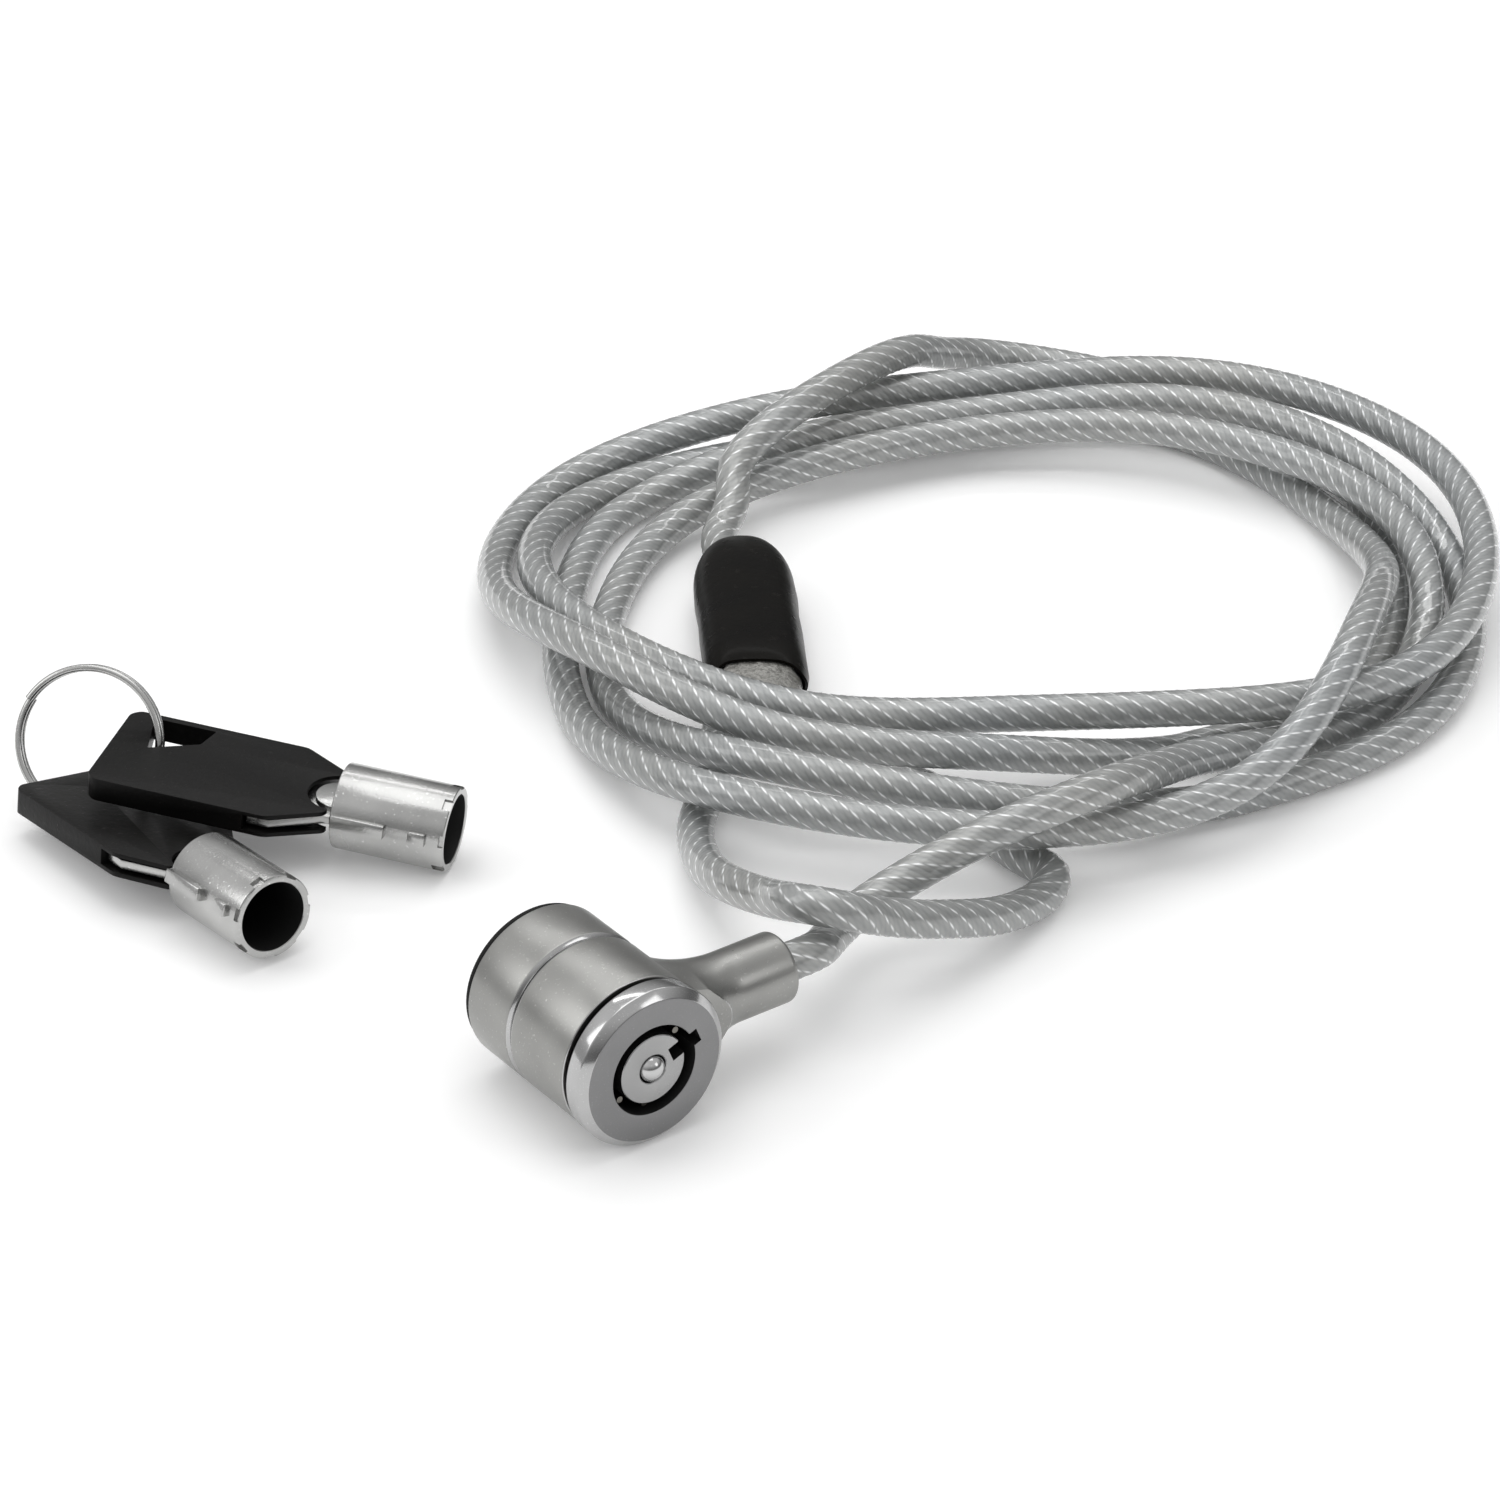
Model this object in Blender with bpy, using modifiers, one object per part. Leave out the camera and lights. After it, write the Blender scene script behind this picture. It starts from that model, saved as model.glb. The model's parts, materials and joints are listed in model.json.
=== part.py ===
"""Laptop cable lock: a tubular-key lock head with a side arm, a coiled wire-rope cable that ends in
an eye and a dipped sleeve, and two tubular keys on a split ring.

Metres, +Z up, and everything stands on z = 0. The lock lies on its barrel. Places on the ground
are written from the layout's own origin, which the layout empty moves so that the part's origin
lies under the middle of the lock head and the keys.
"""

import math

import bmesh
import bpy
import numpy as np
from mathutils import Matrix, Vector

MM = 0.001

# ---- Fits -------------------------------------------------------------------------------------
GAP = 0.3 * MM  # between neighbouring pieces
PIN_GAP = 0.2 * MM  # between a pin's nose and the walls of the key slot
CUT_PAST = 1.0 * MM  # how far a cutter runs past what it cuts

# ---- Layout on the ground ---------------------------------------------------------------------
LAYOUT_SHIFT = (36.49 * MM, 42.99 * MM)
BARREL_PLACE = (-13.7 * MM, -68.3 * MM)
BARREL_YAW = math.radians(36.3)  # the arm's heading, square to the barrel
KEY_A_SHOULDER = (-42.438 * MM, -20.95 * MM, 5.735 * MM)  # where its tube meets its head
KEY_A_TURN = (0.0, math.radians(5.2), math.radians(-14.9))
KEY_B_SHOULDER = (-55.676 * MM, -32.719 * MM, 4.629 * MM)
KEY_B_TURN = (math.radians(-9.4), math.radians(-3.5), math.radians(-51.3))

# ---- Lock barrel: heights along its axis from the arm's axis, the key face upwards -------------
COLLAR_RADIUS = 8.35 * MM
COLLAR_FRONT = 4.4 * MM
COLLAR_LENGTH = 9.2 * MM
GUARD_LENGTH = 6.6 * MM
GUARD_WALL = 2.0 * MM
EDGE_CHAMFER = 0.25 * MM
GASKET_THICKNESS = 0.6 * MM
GASKET_BORE_RADIUS = 5.8 * MM
SPACER_THICKNESS = 0.4 * MM
SPACER_INSET = 0.6 * MM
PLATE_PROUD = 0.15 * MM  # how far the face plate stands out past the collar
PLATE_SIDE = 1.9 * MM
PLATE_CHAMFER_HEIGHT = 0.7 * MM
PLATE_CHAMFER_WIDTH = 0.6 * MM
SLEEVE_WALL = 1.2 * MM  # what the collar leaves around the case
CASE_WALL = 0.75 * MM

# ---- Key slot and core -------------------------------------------------------------------------
KEYWAY_RADIUS = 4.8 * MM
KEYWAY_DEPTH = 6.2 * MM
POST_RADIUS = 3.7 * MM
POST_RECESS = 0.2 * MM
NOTCH_WIDTH = 1.65 * MM
CASE_NOTCH_DEPTH = 0.8 * MM
POST_NOTCH_DEPTH = 1.5 * MM
NOTCH_ANGLE = math.radians(22)  # from the arm's heading towards the top
BALL_RADIUS = 1.35 * MM
BALL_PROUD = 0.8 * MM
CORE_FLANGE_LENGTH = 6.4 * MM
SPINDLE_RADIUS = 2.2 * MM
BACK_PLATE_THICKNESS = 1.4 * MM
CIRCLIP_WIDTH = 1.5 * MM
CIRCLIP_THICKNESS = 0.6 * MM
CIRCLIP_MOUTH = 2.6 * MM
SOCKET_DEPTH = 1.6 * MM

# ---- Tumbler pins ------------------------------------------------------------------------------
PIN_COUNT = 7
PIN_FIRST_ANGLE = math.radians(39.5)  # from the arm's heading towards the top
PIN_SPACING = math.radians(45)  # eight places round the post, the one below the notch left out
PIN_RADIUS = 0.75 * MM
PIN_BODY_LENGTH = 2.1 * MM
PIN_NOSE_RECESS = 1.2 * MM  # the nose's end below the key face
CHAMBER_DEPTH = 5.8 * MM
SPRING_LENGTH = 1.2 * MM  # as long as it is when the pin is pressed in
SPRING_WALL = 0.25 * MM

# ---- Lock tip ----------------------------------------------------------------------------------
TIP_SHAFT_RADIUS = 1.2 * MM
TIP_HEAD = (5.8 * MM, 2.4 * MM, 1.3 * MM)
STUD_RADIUS = 0.8 * MM
STUD_OFFSET = 2.5 * MM
STUD_PROUD = 1.9 * MM

# ---- Arm ---------------------------------------------------------------------------------------
ARM_REACH = 20.5 * MM
ARM_RADIUS = 3.7 * MM
ARM_STRAIGHT = 6.3 * MM
ARM_WEB_RADIUS = 5.2 * MM  # of the hollow between the arm and the collar's two rims
ARM_SINK = 0.1 * MM  # how far the hollow round the arm runs into the collar
ARM_EDGE = 0.5 * MM
CRIMP_RADIUS = 2.9 * MM
CRIMP_LENGTH = 5.6 * MM
CRIMP_FRONT = 14.6 * MM  # how far along the arm the crimp ends

# ---- Cable -------------------------------------------------------------------------------------
CABLE_RADIUS = 2.0 * MM
CABLE_GAP = 0.4 * MM  # the least gap of the cable to itself
COIL_CENTRE = (26.0 * MM, 30.0 * MM)
COIL_POINTS_PER_HOUR = 2  # 24 points a loop
STRETCH_STEP = 6.5 * MM
# The coil runs clockwise from the back, seen from above. Each loop is drawn by the hours of a
# clock face: how far out the cable's centre lies, and how high it lies over and under the others.
LOOP_RADII = (
    (54.6, 57.5, 51.5, 46.8, 43.9, 39.2, 40.4, 46.3, 50.2, 54.6, 55.0, 45.4),
    (44.8, 54.6, 58.1, 56.0, 51.0, 39.4, 35.2, 38.3, 44.0, 50.0, 50.2, 43.2),
    (46.0, 48.0, 45.3, 44.4, 46.5, 54.2, 57.5, 58.5, 51.9, 46.6, 45.3, 38.6),
    (40.0, 46.8, 50.8, 54.2, 54.0, 50.2, 51.5, 51.8, 47.0, 41.2, 37.8, 33.2),
    (35.2, 39.1, 45.6, 49.4, 48.6),
)
LOOP_HEIGHTS = (
    (5.8, 2.0, 2.0, 2.0, 2.0, 2.0, 5.8, 8.4, 10.0, 4.2, 2.6, 6.2),
    (6.6, 6.7, 7.7, 7.5, 6.9, 7.6, 7.5, 6.8, 7.4, 5.6, 2.1, 2.0),
    (2.0, 2.0, 2.3, 6.8, 12.2, 7.2, 6.7, 7.1, 2.0, 2.0, 2.0, 5.2),
    (5.1, 6.6, 7.0, 3.2, 2.0, 2.0, 6.5, 7.6, 2.2, 2.0, 3.0, 5.0),
    (5.0, 6.5, 6.9, 6.4, 2.0),
)
# From the sleeve up over the coil to its first loop, and from the last loop to the arm, in mm.
TAIL_POINTS = (
    (-2.0, 46.6, 5.9),
    (-1.9, 49.6, 7.8),
    (-0.5, 52.7, 9.2),
    (3.4, 57.0, 11.0),
    (7.8, 61.9, 11.8),
    (13.4, 68.9, 11.7),
    (16.4, 72.6, 11.3),
    (19.7, 76.5, 10.2),
    (22.8, 80.6, 7.9),
)
LEAD_POINTS = (
    (60.8, -1.2, 2.5),
    (53.6, -6.9, 4.3),
    (47.5, -12.1, 6.3),
    (42.4, -18.9, 8.8),
    (36.6, -26.7, 11.5),
    (31.1, -30.9, 11.6),
    (25.8, -34.1, 11.0),
    (20.6, -36.6, 9.6),
    (15.4, -39.1, 7.7),
    (11.9, -41.4, 6.5),
    (9.2, -45.2, 6.3),
    (7.6, -49.3, 7.0),
)
EYE_POINTS = (
    (-3.1, 1.2, 2.4),
    (-3.8, -5.9, 2.0),
    (-4.7, -13.2, 2.0),
    (-5.6, -18.5, 2.0),
    (-5.4, -24.5, 2.6),
    (-4.0, -32.1, 4.5),
    (-1.3, -39.2, 7.0),
    (2.5, -46.1, 9.9),
    (6.4, -51.9, 12.8),
    (9.9, -51.9, 12.1),
    (12.6, -50.0, 10.4),
    (16.4, -47.9, 8.7),
    (20.0, -44.9, 6.8),
    (24.2, -41.0, 4.6),
    (27.7, -36.5, 2.8),
    (30.4, -32.1, 2.0),
    (31.0, -28.4, 2.0),
    (29.0, -25.9, 2.0),
    (24.6, -19.5, 2.0),
    (20.1, -12.8, 2.0),
    (16.0, -9.3, 2.0),
    (12.2, -6.6, 2.0),
    (8.6, -1.9, 2.0),
)

# ---- Sleeve over the eye's joint: along its axis from its lower, open end ------------------------
SLEEVE_PLACE = (0.7 * MM, 9.3 * MM)
SLEEVE_YAW = math.radians(-86)
SLEEVE_LENGTH = 31.0 * MM
SLEEVE_WIDTH = 11.4 * MM
SLEEVE_HEIGHT = 7.9 * MM
SLEEVE_DOME = 5.0 * MM
DIP_WALL = 0.8 * MM
SWAGE_LENGTH = 21.0 * MM
SWAGE_INSET = 1.0 * MM
LEG_OFFSET = 2.5 * MM
TAIL_OFFSET = 1.9 * MM

# ---- Keys: along the key from its tip, which is at 0 ---------------------------------------------
KEY_TUBE_RADIUS = 4.55 * MM
KEY_BORE_RADIUS = 3.7 * MM
KEY_TUBE_LENGTH = 12.3 * MM
KEY_TUBE_FLOOR = 1.2 * MM
TIP_CUT_DEPTHS = (0.9, 0.5, 1.2, 0.7, 1.3, 0.6, 1.0)  # mm
TIP_CUT_WIDTH = 1.3 * MM
TIP_CUT_RADIUS = 4.25 * MM
RIB_SIZE = (5.8 * MM, 1.5 * MM, 0.8 * MM)
LUG_SIZE = (1.9 * MM, 1.4 * MM, 0.5 * MM)
LUG_FROM_TIP = 2.8 * MM
RIB_ANGLE = math.radians(79)  # round the tube from its top, towards the near side
HEAD_LENGTH = 25.2 * MM
HEAD_WIDTH = 14.4 * MM
HEAD_THICKNESS = 2.6 * MM
HEAD_CORNER = 1.5 * MM
HEAD_TAPER_LENGTH = 5.6 * MM
HEAD_NECK_WIDTH = 8.0 * MM
HEAD_EDGE = 0.3 * MM
RING_SLOT = ((2.7, 6.4), (9.6, 6.4), (8.9, 3.7), (4.0, 1.0))  # mm from the head's rear and its axis
BLADE_THICKNESS = 1.1 * MM
BLADE_WIDTH = 13.0 * MM
BLADE_LENGTH = 8.0 * MM
BLADE_NECK_WIDTH = 6.4 * MM
NOTCH_RADIUS = 3.4 * MM
BOSS_RADIUS = 2.5 * MM
BOSS_THICKNESS = 2.2 * MM

# ---- Key ring ------------------------------------------------------------------------------------
RING_WIRE_RADIUS = 0.4 * MM
RING_RADIUS = 7.72 * MM
RING_TURNS = 2
RING_PITCH = 0.95 * MM
RING_PLACE = (-69.7 * MM, -11.05 * MM)
RING_LEAN = math.radians(28.2)
RING_YAW = math.radians(-10.5)
RING_START = math.radians(150)

# ---- Counts and colours ----------------------------------------------------------------------------
ROUND_STEPS = 40
SMALL_STEPS = 12
ARM_STEPS = 32
ARM_RINGS = 12
SMOOTH_BELOW = math.radians(32)
HOUR = math.radians(30)

NICKEL = ("satin_nickel", (0.36, 0.36, 0.36), 0.38, 1.0)
BRUSHED = ("brushed_face", (0.46, 0.46, 0.46), 0.3, 1.0)
CHROME = ("key_chrome", (0.62, 0.62, 0.63), 0.16, 1.0)
STEEL = ("pin_steel", (0.55, 0.55, 0.54), 0.3, 1.0)
RUBBER = ("gasket_rubber", (0.02, 0.02, 0.02), 0.8, 0.0)
ALUMINIUM = ("swage_aluminium", (0.7, 0.7, 0.7), 0.35, 1.0)
CABLE = ("coated_cable", (0.42, 0.43, 0.41), 0.25, 0.6)
DIPPED = ("dipped_sleeve", (0.012, 0.012, 0.013), 0.28, 0.0)
HEAD_PLASTIC = ("key_head_plastic", (0.02, 0.02, 0.02), 0.45, 0.0)


# ==== Scene helpers ===================================================================================
def clear_scene():
    for obj in list(bpy.data.objects):
        bpy.data.objects.remove(obj, do_unlink=True)


def collection(name):
    made = bpy.data.collections.new(name)
    bpy.context.scene.collection.children.link(made)
    return made


def material(finish):
    """The Principled material of a (name, colour, roughness, metallic) finish."""
    name, colour, roughness, metallic = finish
    found = bpy.data.materials.get(name)
    if found:
        return found
    made = bpy.data.materials.new(name)
    made.use_nodes = True
    shader = made.node_tree.nodes["Principled BSDF"]
    shader.inputs["Base Color"].default_value = (*colour, 1.0)
    shader.inputs["Roughness"].default_value = roughness
    shader.inputs["Metallic"].default_value = metallic
    made.diffuse_color = (*colour, 1.0)
    return made


class Model:
    """The collections that the pieces and the cutters go into, and the empties that place them."""

    def __init__(self):
        self.parts = collection("laptop_cable_lock")
        self.cutters = collection("cutters")
        self.layout = self.empty("layout", None, (*LAYOUT_SHIFT, 0.0))

    def empty(self, name, parent, location=(0, 0, 0), rotation=(0, 0, 0)):
        made = bpy.data.objects.new(name, None)
        self.parts.objects.link(made)
        made.parent = parent
        made.location = location
        made.rotation_euler = rotation
        return made

    def piece(self, name, mesh, finish, parent):
        """A part made of this mesh, shaded smooth with sharp edges where it turns."""
        made = bpy.data.objects.new(name, mesh)
        self.parts.objects.link(made)
        made.parent = parent
        made.data.materials.append(material(finish))
        if isinstance(mesh, bpy.types.Mesh):
            mesh.shade_smooth()
            mesh.set_sharp_from_angle(angle=SMOOTH_BELOW)
        return made

    def cutter(self, name, mesh, parent):
        made = bpy.data.objects.new(name, mesh)
        self.cutters.objects.link(made)
        made.parent = parent
        made.hide_render = True
        made.display_type = "WIRE"
        return made


# ==== Shapes ==========================================================================================
def turned_mesh(name, profile, steps=ROUND_STEPS):
    """A solid turned about Z from (radius, height) points that run down its outer side.

    A profile that starts and ends on the axis makes a solid, any other closes into a ring.
    """
    points = [(radius, 0.0, height) for radius, height in profile]
    edges = [(i, i + 1) for i in range(len(points) - 1)]
    if profile[0][0] > 0:
        edges.append((len(points) - 1, 0))
    outline = bpy.data.meshes.new(name + "_profile")
    outline.from_pydata(points, edges, [])
    guide = bpy.data.objects.new(name + "_profile", outline)
    bpy.context.scene.collection.objects.link(guide)
    screw = guide.modifiers.new("Turn", "SCREW")
    screw.axis = "Z"
    screw.steps = screw.render_steps = steps
    screw.use_merge_vertices = True
    screw.merge_threshold = 1e-6
    return take_mesh(name, guide)


def take_mesh(name, guide):
    """The mesh that this object evaluates to, with its loose caps welded. The object is removed."""
    graph = bpy.context.evaluated_depsgraph_get()
    mesh = bpy.data.meshes.new_from_object(guide.evaluated_get(graph))
    mesh.name = name
    mesh.transform(guide.matrix_world)
    shape = bmesh.new()
    shape.from_mesh(mesh)
    bmesh.ops.remove_doubles(shape, verts=shape.verts, dist=1e-6)
    bmesh.ops.recalc_face_normals(shape, faces=shape.faces)
    shape.to_mesh(mesh)
    shape.free()
    bpy.data.objects.remove(guide, do_unlink=True)
    return mesh


def cylinder_mesh(name, radius, low, high, steps=SMALL_STEPS, at=(0.0, 0.0)):
    """An upright cylinder between two heights, its axis at this place."""
    shape = bmesh.new()
    middle = Matrix.Translation((at[0], at[1], (low + high) / 2))
    bmesh.ops.create_cone(
        shape, cap_ends=True, segments=steps, radius1=radius, radius2=radius, depth=high - low, matrix=middle
    )
    mesh = bpy.data.meshes.new(name)
    shape.to_mesh(mesh)
    shape.free()
    return mesh


def box_mesh(name, low, high):
    """A box between two opposite corners."""
    low, high = Vector(low), Vector(high)
    place = Matrix.LocRotScale((low + high) / 2, None, high - low)
    shape = bmesh.new()
    bmesh.ops.create_cube(shape, size=1.0, matrix=place)
    mesh = bpy.data.meshes.new(name)
    shape.to_mesh(mesh)
    shape.free()
    return mesh


def plate_mesh(name, outlines, thickness):
    """A flat plate about z = 0 from a list of closed outlines, of which the later ones are holes."""
    curve = bpy.data.curves.new(name, "CURVE")
    curve.dimensions = "2D"
    curve.fill_mode = "BOTH"
    curve.extrude = thickness / 2
    for outline in outlines:
        spline = curve.splines.new("POLY")
        spline.points.add(len(outline) - 1)
        for point, (x, y) in zip(spline.points, outline):
            point.co = (x, y, 0.0, 1.0)
        spline.use_cyclic_u = True
    guide = bpy.data.objects.new(name, curve)
    bpy.context.scene.collection.objects.link(guide)
    return take_mesh(name, guide)


def lofted_mesh(name, rings):
    """A closed solid through rings of equally many points, capped at both ends."""
    shape = bmesh.new()
    rows = [[shape.verts.new(point) for point in ring] for ring in rings]
    for row, following in zip(rows, rows[1:]):
        for i in range(len(row)):
            j = (i + 1) % len(row)
            shape.faces.new((row[i], row[j], following[j], following[i]))
    shape.faces.new(rows[0])
    shape.faces.new(rows[-1])
    bmesh.ops.recalc_face_normals(shape, faces=shape.faces)
    mesh = bpy.data.meshes.new(name)
    shape.to_mesh(mesh)
    shape.free()
    return mesh


def tube(model, name, points, radius, finish, parent, resolution=2):
    """A round tube along points, as a curve with a bevel and filled caps."""
    curve = bpy.data.curves.new(name, "CURVE")
    curve.dimensions = "3D"
    curve.bevel_depth = radius
    curve.bevel_resolution = resolution
    curve.use_fill_caps = True
    spline = curve.splines.new("POLY")
    spline.points.add(len(points) - 1)
    for target, point in zip(spline.points, points):
        target.co = (*point, 1.0)
    return model.piece(name, curve, finish, parent)


def cut(obj, cutter, operation="DIFFERENCE"):
    boolean = obj.modifiers.new(cutter.name, "BOOLEAN")
    boolean.operation = operation
    boolean.solver = "EXACT"
    boolean.object = cutter


def bevel(obj, width, segments=2):
    made = obj.modifiers.new("Edges", "BEVEL")
    made.width = width
    made.segments = segments
    made.limit_method = "ANGLE"
    made.angle_limit = SMOOTH_BELOW


# ==== Cable line ======================================================================================
class SmoothLine:
    """A natural cubic spline through points, by the distance along their chords."""

    def __init__(self, points):
        self.points = np.array(points, float)
        chords = np.linalg.norm(np.diff(self.points, axis=0), axis=1)
        self.at = np.concatenate([[0.0], np.cumsum(chords)])
        count = len(self.points)
        system = np.eye(count)
        pulls = np.zeros((count, 3))
        for i in range(1, count - 1):
            before, after = chords[i - 1], chords[i]
            system[i, i - 1 : i + 2] = before, 2 * (before + after), after
            ahead = (self.points[i + 1] - self.points[i]) / after
            behind = (self.points[i] - self.points[i - 1]) / before
            pulls[i] = 6 * (ahead - behind)
        self.bends = np.linalg.solve(system, pulls)

    def point(self, place):
        """The point at this distance, never lower than a cable lying on the ground."""
        i = int(np.clip(np.searchsorted(self.at, place, side="right") - 1, 0, len(self.at) - 2))
        span = self.at[i + 1] - self.at[i]
        left, right = self.at[i + 1] - place, place - self.at[i]
        bend = (self.bends[i] * left**3 + self.bends[i + 1] * right**3) / (6 * span)
        start = self.points[i] / span - self.bends[i] * span / 6
        end = self.points[i + 1] / span - self.bends[i + 1] * span / 6
        found = bend + start * left + end * right
        found[2] = max(found[2], CABLE_RADIUS)
        return found

    def heading(self, place):
        step = 0.05 * MM
        low, high = max(place - step, 0.0), min(place + step, self.at[-1])
        along = self.point(high) - self.point(low)
        return along / np.linalg.norm(along)

    def stretch(self, start, end, places):
        """Points from start to end, straight for one cable diameter at both ends."""
        run = 2 * CABLE_RADIUS
        first, last = self.point(start), self.point(end)
        inner = [self.point(p) for p in places if start + 1.5 * run < p < end - 1.5 * run]
        opening = [first, first + self.heading(start) * run]
        closing = [last - self.heading(end) * run, last]
        return opening + inner + closing


def even_places(start, end, step):
    count = max(int(round((end - start) / step)), 1)
    return [start + (end - start) * i / count for i in range(count + 1)]


def hour_point(hour):
    """Where the cable's centre is at this hour of the coil, counted on from the back."""
    loop, clock = divmod(hour, 12)
    turn = math.pi / 2 - hour * HOUR
    radius = LOOP_RADII[loop][clock] * MM
    return (
        COIL_CENTRE[0] + radius * math.cos(turn),
        COIL_CENTRE[1] + radius * math.sin(turn),
        LOOP_HEIGHTS[loop][clock] * MM,
    )


def in_metres(points):
    return [tuple(value * MM for value in point) for point in points]


def arm_point(along):
    """A place on the arm's axis, in the layout."""
    return (
        BARREL_PLACE[0] + along * math.cos(BARREL_YAW),
        BARREL_PLACE[1] + along * math.sin(BARREL_YAW),
        barrel_height(),
    )


def sleeve_point(along, across):
    """A place in the sleeve's middle plane: along its axis from the open end, and across it."""
    c, s = math.cos(SLEEVE_YAW), math.sin(SLEEVE_YAW)
    return (
        SLEEVE_PLACE[0] + along * c - across * s,
        SLEEVE_PLACE[1] + along * s + across * c,
        SLEEVE_HEIGHT / 2,
    )


def barrel_height():
    """The barrel's axis over the ground: its widest piece, the face plate, touches it."""
    return Barrel.plate_radius


def cable_line():
    """The whole cable from the sleeve's swage to the arm's crimp, and the places of the coil."""
    swage_top = -(SWAGE_INSET + SWAGE_LENGTH + GAP)
    inside = [sleeve_point(swage_top, -TAIL_OFFSET), sleeve_point(-SLEEVE_LENGTH * 0.85, -TAIL_OFFSET)]
    leaving = [sleeve_point(-SLEEVE_LENGTH - 2 * MM, -TAIL_OFFSET)]
    tail = inside + leaving + in_metres(TAIL_POINTS)
    hours = sum(len(loop) for loop in LOOP_RADII)
    coil = [hour_point(hour) for hour in range(hours)]
    into_arm = [arm_point(ARM_REACH + 2 * CABLE_RADIUS), arm_point(ARM_REACH), arm_point(CRIMP_FRONT + GAP)]
    lead = in_metres(LEAD_POINTS) + into_arm
    line = SmoothLine(tail + coil + lead)
    return line, len(tail), len(tail) + hours - 1


def eye_line():
    """The eye's cable: out of the sleeve on one side, round, and back in on the other."""
    mouth = -SWAGE_INSET + GAP
    ends = [sleeve_point(mouth, -LEG_OFFSET), sleeve_point(mouth + 2 * CABLE_RADIUS, -LEG_OFFSET)]
    back = [sleeve_point(mouth + 2 * CABLE_RADIUS, LEG_OFFSET), sleeve_point(mouth, LEG_OFFSET)]
    return SmoothLine(ends + in_metres(EYE_POINTS) + back)


def least_gap(points, others=None):
    """The least distance between the surfaces of two cable runs, or of one and itself."""
    a = np.array(points)
    b = a if others is None else np.array(others)
    apart = np.linalg.norm(a[:, None] - b[None], axis=2)
    if others is None:
        steps = np.linalg.norm(np.diff(a, axis=0), axis=1)
        along = np.concatenate([[0.0], np.cumsum(steps)])
        near = np.abs(along[:, None] - along[None]) < 8 * CABLE_RADIUS
        apart[near] = np.inf
    return float(apart.min()) - 2 * CABLE_RADIUS


def report_gaps(line, eye):
    """Prints the cable's length and its least gaps, measured on points half a millimetre apart."""
    step = 0.5 * MM
    whole = [line.point(p) for p in even_places(0.0, line.at[-1], step)]
    loop = [eye.point(p) for p in even_places(0.0, eye.at[-1], step)]
    for name, points in (("cable", whole), ("eye", loop)):
        length = np.linalg.norm(np.diff(np.array(points), axis=0), axis=1).sum()
        print(f"{name} length {length / MM:.1f} mm")
    print(f"cable's least gap to itself {least_gap(whole) / MM:.2f} mm")
    print(f"cable's least gap to the eye {least_gap(whole, loop) / MM:.2f} mm")
    if least_gap(whole) < 0.9 * CABLE_GAP:
        print("the loops lie closer than meant")


def build_cable(model):
    """The lead, the coil, the tail and the eye, each its own tube, end to end with a gap."""
    line, first, last = cable_line()
    eye = eye_line()
    report_gaps(line, eye)
    coil_start, coil_end = line.at[first], line.at[last]
    step = 1 / COIL_POINTS_PER_HOUR
    hours = np.arange(first, last + step / 2, step)
    places = np.interp(hours, np.arange(len(line.at)), line.at)
    half = GAP / 2
    coil = line.stretch(coil_start + half, coil_end - half, places)
    tail_end = coil_start - half
    tail = line.stretch(0.0, tail_end, even_places(0.0, tail_end, STRETCH_STEP))
    lead_start = coil_end + half
    lead = line.stretch(lead_start, line.at[-1], even_places(lead_start, line.at[-1], STRETCH_STEP))
    loop = eye.stretch(0.0, eye.at[-1], even_places(0.0, eye.at[-1], STRETCH_STEP))
    tube(model, "cable_coil", coil, CABLE_RADIUS, CABLE, model.layout, resolution=1)
    tube(model, "cable_tail", tail, CABLE_RADIUS, CABLE, model.layout)
    tube(model, "cable_lead", lead, CABLE_RADIUS, CABLE, model.layout)
    tube(model, "eye_loop", loop, CABLE_RADIUS, CABLE, model.layout)


# ==== Sleeve ==========================================================================================
def oval_ring(x, width, height, points=24):
    """A flat-sided oval across the sleeve's axis: two half circles with straights between."""
    radius = height / 2
    shift = max(width / 2 - radius, 0.0)
    ring = []
    for i in range(points):
        turn = 2 * math.pi * (i + 0.5) / points
        side = math.copysign(shift, math.cos(turn))
        ring.append((x, side + radius * math.cos(turn), radius * math.sin(turn)))
    return ring


def dome_rings(steps=5):
    """The cover's rings from its domed end to its open end."""
    rings = []
    for i in range(steps + 1):
        turn = math.pi / 2 * (i + 0.6) / (steps + 0.6)
        inset = SLEEVE_DOME * (1 - math.sin(turn))
        share = math.cos(math.pi / 2 - turn) ** 0.5
        x = -SLEEVE_LENGTH + SLEEVE_DOME * (1 - math.cos(turn)) if i < steps else -SLEEVE_LENGTH + SLEEVE_DOME
        rings.append(oval_ring(x, SLEEVE_WIDTH - 2 * inset * 0.8, SLEEVE_HEIGHT * max(share, 0.35)))
    rings.append(oval_ring(0.0, SLEEVE_WIDTH, SLEEVE_HEIGHT))
    return rings


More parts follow.
